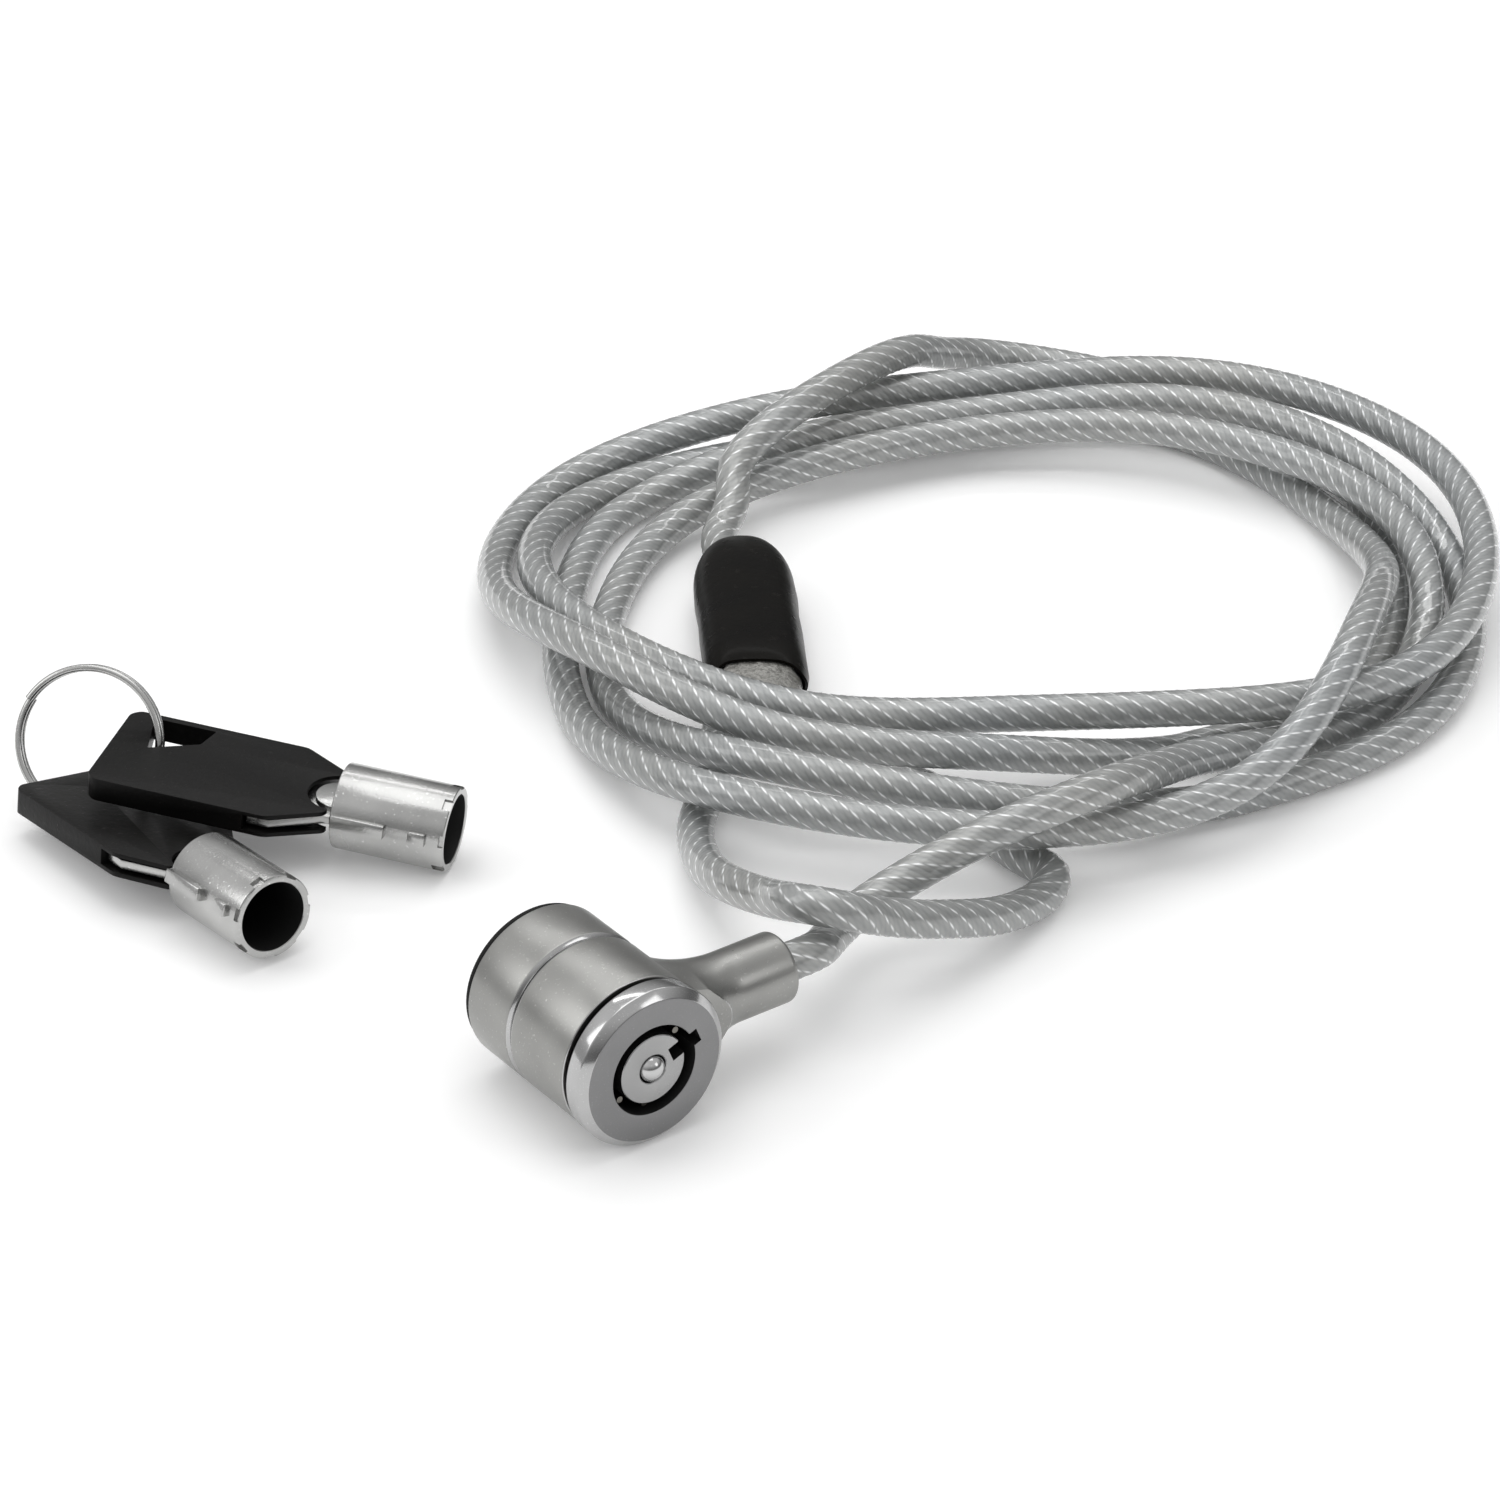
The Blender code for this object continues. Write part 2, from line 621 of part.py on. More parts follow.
def build_sleeve(model):
    """The dipped cover with its swage inside. The cable's runs meet the swage inside the cover."""
    place = (*SLEEVE_PLACE, SLEEVE_HEIGHT / 2)
    frame = model.empty("sleeve_frame", model.layout, place, (0, 0, SLEEVE_YAW))
    cover = model.piece("sleeve_cover", lofted_mesh("sleeve_cover", dome_rings()), DIPPED, frame)
    inner = (SLEEVE_WIDTH - 2 * DIP_WALL, SLEEVE_HEIGHT - 2 * DIP_WALL)
    deep = -(SWAGE_INSET + SWAGE_LENGTH + GAP)
    hollow = lofted_mesh("sleeve_hollow", [oval_ring(deep, *inner), oval_ring(CUT_PAST, *inner)])
    cut(cover, model.cutter("sleeve_hollow", hollow, frame))
    exit_hole = cylinder_mesh("tail_hole", CABLE_RADIUS + GAP, 0.0, SLEEVE_LENGTH, steps=20)
    hole = model.cutter("tail_hole", exit_hole, frame)
    hole.rotation_euler = (0, -math.pi / 2, 0)
    hole.location = (deep + CUT_PAST, -TAIL_OFFSET, 0)
    cut(cover, hole)
    block = (inner[0] - 2 * GAP, inner[1] - 2 * GAP)
    low, high = -(SWAGE_INSET + SWAGE_LENGTH), -SWAGE_INSET
    swage = lofted_mesh("swage_sleeve", [oval_ring(low, *block), oval_ring(high, *block)])
    model.piece("swage_sleeve", swage, ALUMINIUM, frame)


# ==== Lock head =======================================================================================
class Barrel:
    """Heights and radii along the barrel, each worked out from the driving dimensions."""

    collar_rear = COLLAR_FRONT - COLLAR_LENGTH
    guard_front = collar_rear - GAP
    guard_rear = guard_front - GUARD_LENGTH
    guard_floor = guard_rear + GUARD_WALL
    gasket_front = guard_rear - GAP
    gasket_rear = gasket_front - GASKET_THICKNESS
    plate_radius = COLLAR_RADIUS + PLATE_PROUD
    spacer_rear = COLLAR_FRONT + PIN_GAP
    spacer_front = spacer_rear + SPACER_THICKNESS
    plate_rear = spacer_front + PIN_GAP
    face = plate_rear + PLATE_SIDE + PLATE_CHAMFER_HEIGHT
    bore = COLLAR_RADIUS - SLEEVE_WALL
    case_radius = bore - GAP
    case_bore = case_radius - CASE_WALL
    case_rear = guard_floor + GAP
    shoulder = face - KEYWAY_DEPTH
    flange_front = shoulder - GAP
    flange_radius = case_bore - GAP
    flange_rear = flange_front - CORE_FLANGE_LENGTH
    back_front = flange_rear - GAP
    back_rear = back_front - BACK_PLATE_THICKNESS
    clip_front = back_rear - GAP
    clip_rear = clip_front - CIRCLIP_THICKNESS
    spindle_end = clip_rear - GAP
    pitch_radius = (KEYWAY_RADIUS + POST_RADIUS) / 2
    stud_end = gasket_rear - STUD_PROUD


def collar_profile():
    edge = EDGE_CHAMFER
    return (
        (COLLAR_RADIUS - edge, COLLAR_FRONT),
        (COLLAR_RADIUS, COLLAR_FRONT - edge),
        (COLLAR_RADIUS, Barrel.collar_rear + edge),
        (COLLAR_RADIUS - edge, Barrel.collar_rear),
        (Barrel.bore, Barrel.collar_rear),
        (Barrel.bore, COLLAR_FRONT),
    )


def arm_mesh():
    """The arm: a round stub that widens in a hollow, tangent to the collar, on its way in."""
    flare_end = ARM_REACH - ARM_STRAIGHT
    meets = COLLAR_RADIUS - ARM_SINK
    hollow = (flare_end**2 + ARM_RADIUS**2 - meets**2) / (2 * (meets - ARM_RADIUS))
    last = math.atan2(flare_end, ARM_RADIUS + hollow)
    mouth = ARM_RADIUS - ARM_EDGE
    sizes = [(ARM_REACH, mouth, mouth), (ARM_REACH - ARM_EDGE, ARM_RADIUS, ARM_RADIUS)]
    for i in range(ARM_RINGS + 1):
        turn = last * i / ARM_RINGS
        back = hollow * math.sin(turn)
        share = min(back / ARM_WEB_RADIUS, 1.0)
        tall = ARM_RADIUS + hollow * (1 - math.cos(turn))
        wide = ARM_RADIUS + ARM_WEB_RADIUS * (1 - math.sqrt(1 - share**2))
        sizes.append((flare_end - back, tall, wide))
    rings = []
    for x, tall, wide in sizes:
        turns = [2 * math.pi * k / ARM_STEPS for k in range(ARM_STEPS)]
        rings.append([(x, tall * math.cos(turn), wide * math.sin(turn)) for turn in turns])
    return lofted_mesh("arm_flare", rings)


def build_collar(model, frame):
    """The ring round the barrel with the arm that the cable goes into, and the crimp inside it."""
    collar = model.piece("arm_collar", turned_mesh("arm_collar", collar_profile()), NICKEL, frame)
    flare = model.cutter("arm_flare", arm_mesh(), frame)
    wide = COLLAR_RADIUS * 4
    low = (0.0, -wide, Barrel.collar_rear)
    high = (wide, wide, COLLAR_FRONT)
    cut(flare, model.cutter("arm_slab", box_mesh("arm_slab", low, high), frame), "INTERSECT")
    cut(collar, flare, "UNION")
    past = COLLAR_FRONT + CUT_PAST
    bore = cylinder_mesh("collar_bore", Barrel.bore, Barrel.collar_rear - CUT_PAST, past, ROUND_STEPS)
    cut(collar, model.cutter("collar_bore", bore, frame))
    chamber = cylinder_mesh("crimp_chamber", CRIMP_RADIUS + GAP, 0.0, CRIMP_FRONT + GAP / 2, 20)
    chamber.transform(Matrix.Rotation(math.pi / 2, 4, "Y"))
    cut(collar, model.cutter("crimp_chamber", chamber, frame))
    mouth = cylinder_mesh("arm_mouth", CABLE_RADIUS + GAP, CRIMP_FRONT - CUT_PAST, ARM_REACH + CUT_PAST, 20)
    mouth.transform(Matrix.Rotation(math.pi / 2, 4, "Y"))
    cut(collar, model.cutter("arm_mouth", mouth, frame))
    crimp = cylinder_mesh("cable_crimp", CRIMP_RADIUS, CRIMP_FRONT - CRIMP_LENGTH, CRIMP_FRONT, 20)
    crimp.transform(Matrix.Rotation(math.pi / 2, 4, "Y"))
    model.piece("cable_crimp", crimp, ALUMINIUM, frame)


def build_guard(model, frame):
    """The rear of the barrel: the cup that closes it, its gasket and the two fixed studs."""
    edge = EDGE_CHAMFER
    hole = TIP_SHAFT_RADIUS + GAP
    profile = (
        (COLLAR_RADIUS - edge, Barrel.guard_front),
        (COLLAR_RADIUS, Barrel.guard_front - edge),
        (COLLAR_RADIUS, Barrel.guard_rear + edge),
        (COLLAR_RADIUS - edge, Barrel.guard_rear),
        (hole, Barrel.guard_rear),
        (hole, Barrel.guard_floor),
        (Barrel.bore, Barrel.guard_floor),
        (Barrel.bore, Barrel.guard_front),
    )
    guard = model.piece("rear_guard", turned_mesh("rear_guard", profile), NICKEL, frame)
    ring = (
        (COLLAR_RADIUS - edge, Barrel.gasket_front),
        (COLLAR_RADIUS - edge, Barrel.gasket_rear),
        (GASKET_BORE_RADIUS, Barrel.gasket_rear),
        (GASKET_BORE_RADIUS, Barrel.gasket_front),
    )
    model.piece("rear_gasket", turned_mesh("rear_gasket", ring), RUBBER, frame)
    for number, side in ((1, -1), (2, 1)):
        place = (side * STUD_OFFSET, 0.0)
        low, high = Barrel.guard_rear - CUT_PAST, Barrel.guard_floor + CUT_PAST
        name = f"stud_hole_{number}"
        hole_mesh = cylinder_mesh(name, STUD_RADIUS + GAP, low, high, SMALL_STEPS, place)
        cut(guard, model.cutter(name, hole_mesh, frame))
        stud = cylinder_mesh(
            f"guard_stud_{number}", STUD_RADIUS, Barrel.stud_end, Barrel.guard_floor, SMALL_STEPS, place
        )
        model.piece(f"guard_stud_{number}", stud, STEEL, frame)


def notch_box(name, low_radius, high_radius, low, high):
    """A slot's cutter from one radius to another, turned to the key's index mark."""
    half = NOTCH_WIDTH / 2
    mesh = box_mesh(name, (low_radius, -half, low), (high_radius, half, high))
    mesh.transform(Matrix.Rotation(NOTCH_ANGLE, 4, "Z"))
    return mesh


def build_case(model, frame):
    """The face plate and the tube behind it, with the spacer ring that shows as a black line."""
    plate = Barrel.plate_radius
    profile = (
        (plate - PLATE_CHAMFER_WIDTH, Barrel.face),
        (plate, Barrel.face - PLATE_CHAMFER_HEIGHT),
        (plate, Barrel.plate_rear),
        (Barrel.case_radius, Barrel.plate_rear),
        (Barrel.case_radius, Barrel.case_rear),
        (Barrel.case_bore, Barrel.case_rear),
        (Barrel.case_bore, Barrel.shoulder),
        (KEYWAY_RADIUS, Barrel.shoulder),
        (KEYWAY_RADIUS, Barrel.face),
    )
    case = model.piece("lock_case", turned_mesh("lock_case", profile, 48), BRUSHED, frame)
    inner = KEYWAY_RADIUS - CUT_PAST / 2
    outer = KEYWAY_RADIUS + CASE_NOTCH_DEPTH
    notch = notch_box("case_notch", inner, outer, Barrel.shoulder - CUT_PAST, Barrel.face + CUT_PAST)
    cut(case, model.cutter("case_notch", notch, frame))
    spacer = (
        (plate - SPACER_INSET, Barrel.spacer_front),
        (plate - SPACER_INSET, Barrel.spacer_rear),
        (Barrel.case_radius + GAP, Barrel.spacer_rear),
        (Barrel.case_radius + GAP, Barrel.spacer_front),
    )
    model.piece("spacer_ring", turned_mesh("spacer_ring", spacer), RUBBER, frame)
    back = (
        (Barrel.flange_radius, Barrel.back_front),
        (Barrel.flange_radius, Barrel.back_rear),
        (SPINDLE_RADIUS + GAP, Barrel.back_rear),
        (SPINDLE_RADIUS + GAP, Barrel.back_front),
    )
    model.piece("case_back", turned_mesh("case_back", back), STEEL, frame)


def build_core(model, frame):
    """The post in the key slot with its flange and spindle, its ball, its clip and the lock's tip."""
    top = Barrel.face - POST_RECESS
    seat = BALL_RADIUS + GAP
    seat_floor = top + BALL_PROUD - 2 * BALL_RADIUS - GAP
    profile = (
        (0.0, seat_floor),
        (seat, seat_floor),
        (seat, top),
        (POST_RADIUS, top),
        (POST_RADIUS, Barrel.flange_front),
        (Barrel.flange_radius, Barrel.flange_front),
        (Barrel.flange_radius, Barrel.flange_rear),
        (SPINDLE_RADIUS, Barrel.flange_rear),
        (SPINDLE_RADIUS, Barrel.spindle_end),
        (TIP_SHAFT_RADIUS + GAP, Barrel.spindle_end),
        (TIP_SHAFT_RADIUS + GAP, Barrel.spindle_end + SOCKET_DEPTH),
        (0.0, Barrel.spindle_end + SOCKET_DEPTH),
    )
    core = model.piece("key_post", turned_mesh("key_post", profile), NICKEL, frame)
    low = POST_RADIUS - POST_NOTCH_DEPTH
    notch = notch_box("post_notch", low, POST_RADIUS + CUT_PAST, Barrel.flange_front + GAP, top + CUT_PAST)
    cut(core, model.cutter("post_notch", notch, frame))
    ball = bmesh.new()
    middle = Matrix.Translation((0, 0, top + BALL_PROUD - BALL_RADIUS))
    bmesh.ops.create_uvsphere(ball, u_segments=20, v_segments=12, radius=BALL_RADIUS, matrix=middle)
    mesh = bpy.data.meshes.new("centre_ball")
    ball.to_mesh(mesh)
    ball.free()
    model.piece("centre_ball", mesh, STEEL, frame)
    clip = (
        (SPINDLE_RADIUS + GAP + CIRCLIP_WIDTH, Barrel.clip_front),
        (SPINDLE_RADIUS + GAP + CIRCLIP_WIDTH, Barrel.clip_rear),
        (SPINDLE_RADIUS + GAP, Barrel.clip_rear),
        (SPINDLE_RADIUS + GAP, Barrel.clip_front),
    )
    circlip = model.piece("core_circlip", turned_mesh("core_circlip", clip, 24), STEEL, frame)
    reach = SPINDLE_RADIUS + GAP + CIRCLIP_WIDTH + CUT_PAST
    half = CIRCLIP_MOUTH / 2
    past = CUT_PAST / 4
    mouth = box_mesh(
        "circlip_mouth", (-half, 0.0, Barrel.clip_rear - past), (half, reach, Barrel.clip_front + past)
    )
    cut(circlip, model.cutter("circlip_mouth", mouth, frame))
    return core


def build_pins(model, core, frame):
    """The tumbler pins in their chambers in the core, each in front of its pressed spring."""
    chamber_floor = Barrel.flange_front - CHAMBER_DEPTH
    body_front = Barrel.flange_front - GAP
    body_rear = body_front - PIN_BODY_LENGTH
    nose_end = Barrel.face - PIN_NOSE_RECESS
    nose_radius = (KEYWAY_RADIUS - POST_RADIUS) / 2 - PIN_GAP
    for number in range(1, PIN_COUNT + 1):
        turn = PIN_FIRST_ANGLE + PIN_SPACING * (number - 1)
        place = Matrix.Translation(
            (Barrel.pitch_radius * math.cos(turn), Barrel.pitch_radius * math.sin(turn), 0.0)
        )
        name = f"pin_chamber_{number}"
        chamber = cylinder_mesh(name, PIN_RADIUS + GAP, chamber_floor, Barrel.flange_front + GAP, 10)
        chamber.transform(place)
        cut(core, model.cutter(name, chamber, frame))
        pin = turned_mesh(
            f"tumbler_pin_{number}",
            (
                (0.0, nose_end),
                (nose_radius, nose_end),
                (nose_radius, body_front),
                (PIN_RADIUS, body_front),
                (PIN_RADIUS, body_rear),
                (0.0, body_rear),
            ),
            10,
        )
        pin.transform(place)
        model.piece(f"tumbler_pin_{number}", pin, STEEL, frame)
        spring_rear = chamber_floor + GAP
        spring = turned_mesh(
            f"pin_spring_{number}",
            (
                (PIN_RADIUS, spring_rear + SPRING_LENGTH),
                (PIN_RADIUS, spring_rear),
                (PIN_RADIUS - SPRING_WALL, spring_rear),
                (PIN_RADIUS - SPRING_WALL, spring_rear + SPRING_LENGTH),
            ),
            10,
        )
        spring.transform(place)
        model.piece(f"pin_spring_{number}", spring, STEEL, frame)


def build_tip(model, frame):
    """The T-shaped tip that turns in the laptop's slot, its shaft seated in the spindle."""
    head_front = Barrel.stud_end - GAP
    length, width, thickness = TIP_HEAD
    shaft_top = Barrel.spindle_end + SOCKET_DEPTH - GAP
    shaft = cylinder_mesh("t_tip", TIP_SHAFT_RADIUS, head_front - thickness / 2, shaft_top, 20)
    tip = model.piece("t_tip", shaft, STEEL, frame)
    low = (-length / 2, -width / 2, head_front - thickness)
    high = (length / 2, width / 2, head_front)
    cut(tip, model.cutter("t_tip_head", box_mesh("t_tip_head", low, high), frame), "UNION")


def build_lock(model):
    """The lock head, with its barrel's axis along the frame's Z and its arm along X."""
    place = (*BARREL_PLACE, barrel_height())
    frame = model.empty("lock_frame", model.layout, place, (math.pi / 2, 0, BARREL_YAW))
    build_collar(model, frame)
    build_guard(model, frame)
    build_case(model, frame)
    core = build_core(model, frame)
    build_pins(model, core, frame)
    build_tip(model, frame)


# ==== Keys ============================================================================================
def along_key(mesh):
    """Lays a mesh that is turned about Z along the key, its top towards the tip."""
    mesh.transform(Matrix.Rotation(math.pi / 2, 4, "Y"))
    return mesh


def build_key_tube(model, name, frame):
    """The round tube with its tip cuts, its rib and its lug."""
    profile = (
        (0.0, -KEY_TUBE_LENGTH + KEY_TUBE_FLOOR),
        (KEY_BORE_RADIUS, -KEY_TUBE_LENGTH + KEY_TUBE_FLOOR),
        (KEY_BORE_RADIUS, 0.0),
        (KEY_TUBE_RADIUS, 0.0),
        (KEY_TUBE_RADIUS, -KEY_TUBE_LENGTH + EDGE_CHAMFER),
        (KEY_TUBE_RADIUS - EDGE_CHAMFER, -KEY_TUBE_LENGTH),
        (0.0, -KEY_TUBE_LENGTH),
    )
    body = model.piece(name, along_key(turned_mesh(name, profile)), CHROME, frame)
    for mark, size, start in (
        ("rib", RIB_SIZE, -KEY_TUBE_LENGTH + EDGE_CHAMFER),
        ("lug", LUG_SIZE, -LUG_FROM_TIP - LUG_SIZE[0] / 2),
    ):
        length, width, height = size
        wall = (KEY_TUBE_RADIUS - KEY_BORE_RADIUS) / 2
        low = (start, -width / 2, KEY_TUBE_RADIUS - wall)
        high = (start + length, width / 2, KEY_TUBE_RADIUS + height)
        bar = box_mesh(f"{name}_{mark}", low, high)
        bar.transform(Matrix.Rotation(RIB_ANGLE, 4, "X"))
        cut(body, model.cutter(f"{name}_{mark}", bar, frame), "UNION")
    half = TIP_CUT_WIDTH / 2
    for number, depth in enumerate(TIP_CUT_DEPTHS):
        turn = 2 * math.pi * (number + 0.5) / len(TIP_CUT_DEPTHS)
        low = (-depth * MM, -half, TIP_CUT_RADIUS)
        high = (CUT_PAST, half, KEY_TUBE_RADIUS + CUT_PAST)
        bite = box_mesh(f"{name}_cut_{number}", low, high)
        bite.transform(Matrix.Rotation(turn, 4, "X"))
        cut(body, model.cutter(f"{name}_cut_{number}", bite, frame))
    return body


def head_outline():
    """The head from above: cut corners at the rear and a taper to the neck at the front."""
    front = -KEY_TUBE_LENGTH - GAP * 2
    rear = front - HEAD_LENGTH
    side = HEAD_WIDTH / 2
    neck = HEAD_NECK_WIDTH / 2
    upper = [
        (front, neck),
        (front - HEAD_TAPER_LENGTH, side),
        (rear + HEAD_CORNER, side),
        (rear, side - HEAD_CORNER),
    ]
    return upper + [(x, -y) for x, y in reversed(upper)], rear


def build_key_head(model, name, frame):
    """The plastic head with the ring's slot, split at its front for the blade."""
    outline, rear = head_outline()
    slot = [(rear + x * MM, y * MM) for x, y in RING_SLOT]
    head = model.piece(name, plate_mesh(name, [outline, slot], HEAD_THICKNESS), HEAD_PLASTIC, frame)
    bevel(head, HEAD_EDGE)
    front = -KEY_TUBE_LENGTH - GAP
    half = BLADE_THICKNESS / 2 + GAP
    deep = front - BLADE_LENGTH - GAP
    wide = HEAD_WIDTH
    pocket = box_mesh(f"{name}_pocket", (deep, -wide, -half), (front + CUT_PAST, wide, half))
    cut(head, model.cutter(f"{name}_pocket", pocket, frame))
    high = HEAD_THICKNESS
    notch = cylinder_mesh(f"{name}_notch", NOTCH_RADIUS, -high, high, 20, (front, 0.0))
    cut(head, model.cutter(f"{name}_notch", notch, frame))


def build_key_blade(model, name, frame):
    """The flat blade that holds the tube in the head, narrow where it leaves the head."""
    front = -KEY_TUBE_LENGTH - GAP
    neck = BLADE_NECK_WIDTH / 2
    side = BLADE_WIDTH / 2
    outline = [
        (front, neck),
        (front - HEAD_TAPER_LENGTH * 0.55, neck),
        (front - HEAD_TAPER_LENGTH, side - HEAD_CORNER),
        (front - BLADE_LENGTH, side - HEAD_CORNER),
    ]
    outline += [(x, -y) for x, y in reversed(outline)]
    blade = model.piece(name, plate_mesh(name, [outline], BLADE_THICKNESS), CHROME, frame)
    turns = [math.pi / 2 + math.pi * i / 10 for i in range(11)]
    half = [(front + BOSS_RADIUS * math.cos(turn), BOSS_RADIUS * math.sin(turn)) for turn in turns]
    boss = model.cutter(f"{name}_boss", plate_mesh(f"{name}_boss", [half], BOSS_THICKNESS), frame)
    cut(blade, boss, "UNION")


def build_key(model, letter, shoulder, turn):
    """One key, its axis along the frame's X with its tip at the origin."""
    base = model.empty(f"key_{letter}_shoulder", model.layout, shoulder, turn)
    frame = model.empty(f"key_{letter}_frame", base, (KEY_TUBE_LENGTH, 0, 0))
    build_key_tube(model, f"key_{letter}_tube", frame)
    build_key_head(model, f"key_{letter}_head", frame)
    build_key_blade(model, f"key_{letter}_blade", frame)


def build_ring(model):
    """The split ring: two turns of wire, leaning back, through the slots of both key heads."""
    height = RING_RADIUS * math.cos(RING_LEAN) + RING_WIRE_RADIUS + RING_PITCH * math.sin(RING_LEAN)
    frame = model.empty(
        "ring_frame", model.layout, (*RING_PLACE, height), (math.pi / 2 - RING_LEAN, 0, RING_YAW)
    )
    points = []
    steps = 24 * RING_TURNS
    for i in range(steps + 1):
        turn = RING_START + 2 * math.pi * RING_TURNS * i / steps
        rise = RING_PITCH * (i / 24 - RING_TURNS / 2)
        points.append((RING_RADIUS * math.cos(turn), RING_RADIUS * math.sin(turn), rise))
    tube(model, "key_ring", points, RING_WIRE_RADIUS, CHROME, frame, resolution=1)


def main():
    clear_scene()
    model = Model()
    build_lock(model)
    build_cable(model)
    build_sleeve(model)
    build_key(model, "a", KEY_A_SHOULDER, KEY_A_TURN)
    build_key(model, "b", KEY_B_SHOULDER, KEY_B_TURN)
    build_ring(model)
    bpy.context.view_layer.update()


main()
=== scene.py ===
"""Dresses the laptop cable lock: its lock head, its coiled wire rope and its two keys on a ring.

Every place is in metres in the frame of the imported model. The lock head is modelled along its
barrel's axis and each key along its tube, and both are then laid where the model has them.
"""

from __future__ import annotations

import json
import logging
import math
from dataclasses import dataclass
from enum import Enum

import bmesh
import bpy
import numpy as np
from mathutils import Euler, Matrix, Vector


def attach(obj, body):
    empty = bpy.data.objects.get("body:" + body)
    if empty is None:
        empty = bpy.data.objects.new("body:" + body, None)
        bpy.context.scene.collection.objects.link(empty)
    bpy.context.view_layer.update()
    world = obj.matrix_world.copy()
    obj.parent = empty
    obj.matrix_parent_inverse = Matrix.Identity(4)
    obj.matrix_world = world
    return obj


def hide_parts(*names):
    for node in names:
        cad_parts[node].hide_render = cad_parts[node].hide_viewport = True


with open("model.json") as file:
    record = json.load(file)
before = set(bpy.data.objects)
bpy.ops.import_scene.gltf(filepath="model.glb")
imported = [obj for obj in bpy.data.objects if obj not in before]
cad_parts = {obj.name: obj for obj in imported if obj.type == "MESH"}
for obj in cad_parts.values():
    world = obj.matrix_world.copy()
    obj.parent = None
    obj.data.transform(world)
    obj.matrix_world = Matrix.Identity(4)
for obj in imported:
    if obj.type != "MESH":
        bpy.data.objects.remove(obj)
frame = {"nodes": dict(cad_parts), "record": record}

LOG = logging.getLogger("cable_lock")
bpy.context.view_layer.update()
MM = 0.001
SHIFT = Vector((0.03649, 0.04299, 0.0))
Station = tuple[float, float]
Point = tuple[float, float, float]
KEY_TUBE = 12.3
EXACT = 1e-6


class Body(Enum):
    """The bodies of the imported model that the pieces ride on."""

    COLLAR = "collar"
    BARREL = "barrel"
    CORE = "core"
    RING = "ring"
    KEY_A = "key_a"
    KEY_B = "key_b"


# ---- Frames --------------------------------------------------------------------------------------
def laid(place: Point, turn: Point) -> Matrix:
    """The frame at a place of the layout, in mm, turned by degrees about X, Y and Z.

    Args:
        place: the frame's origin in mm, before the layout's shift.
        turn: its turn in degrees, about X, then Y, then Z.

    Returns:
        The frame's matrix in metres.
    """
    origin = Vector(place) * MM + SHIFT
    turned = Euler([math.radians(angle) for angle in turn]).to_matrix().to_4x4()
    return Matrix.Translation(origin) @ turned


LOCK_FRAME = laid((-13.7, -68.3, 8.5), (90.0, 0.0, 36.3))
TO_TIP = Matrix.Translation((KEY_TUBE * MM, 0.0, 0.0))
KEY_A_FRAME = laid((-42.438, -20.95, 5.735), (0.0, 5.2, -14.9)) @ TO_TIP
KEY_B_FRAME = laid((-55.676, -32.719, 4.629), (-9.4, -3.5, -51.3)) @ TO_TIP
SLEEVE_FRAME = laid((0.7, 9.3, 3.95), (0.0, 0.0, -86.0))


# ---- Bench: how every piece is modelled ----------------------------------------------------------
def deselect() -> None:
    """Leaves nothing selected, in object mode."""
    if bpy.context.mode != "OBJECT":
        bpy.ops.object.mode_set(mode="OBJECT")
    bpy.ops.object.select_all(action="DESELECT")


def activate(piece: bpy.types.Object) -> None:
    """Makes this the only selected object and the active one.

    Args:
        piece: the object.
    """
    deselect()
    piece.select_set(True)
    bpy.context.view_layer.objects.active = piece


def closed_up(piece: bpy.types.Object, weld: bool = True, fill: bool = False) -> bpy.types.Object:
    """Ends the modelling of a piece in edit mode, with its faces turned outwards.

    Args:
        piece: the active object.
        weld: whether doubled points are made one.
        fill: whether open ends are capped flat.

    Returns:
        The same object, in object mode.
    """
    bpy.ops.object.mode_set(mode="EDIT")
    bpy.ops.mesh.select_all(action="SELECT")
    if weld:
        bpy.ops.mesh.remove_doubles(threshold=EXACT)
    if fill:
        bpy.ops.mesh.fill_holes(sides=0)
    bpy.ops.mesh.normals_make_consistent(inside=False)
    bpy.ops.object.mode_set(mode="OBJECT")
    return piece


def softened(corners: list[Station], width: float, steps: int = 3, closed: bool = True) -> list[Station]:
    """Rounds the corners of a profile.

    Args:
        corners: (radius, height) corners in mm.
        width: how far from its corner each rounding starts, in mm.
        steps: how many faces each rounding has.
        closed: whether the last corner joins the first.

    Returns:
        The profile with each corner swapped for a short curve.
    """
    found: list[Station] = []
    count = len(corners)
    for i, corner in enumerate(corners):
        if not closed and i in (0, count - 1):
            found.append(corner)
            continue
        here = np.array(corner)
        before, after = np.array(corners[i - 1]), np.array(corners[(i + 1) % count])
        back, on = before - here, after - here
        reach = min(width, 0.45 * np.linalg.norm(back), 0.45 * np.linalg.norm(on))
        start = here + back / np.linalg.norm(back) * reach
        end = here + on / np.linalg.norm(on) * reach
        for k in range(steps + 1):
            u = k / steps
            found.append(tuple((1 - u) ** 2 * start + 2 * u * (1 - u) * here + u**2 * end))
    return found


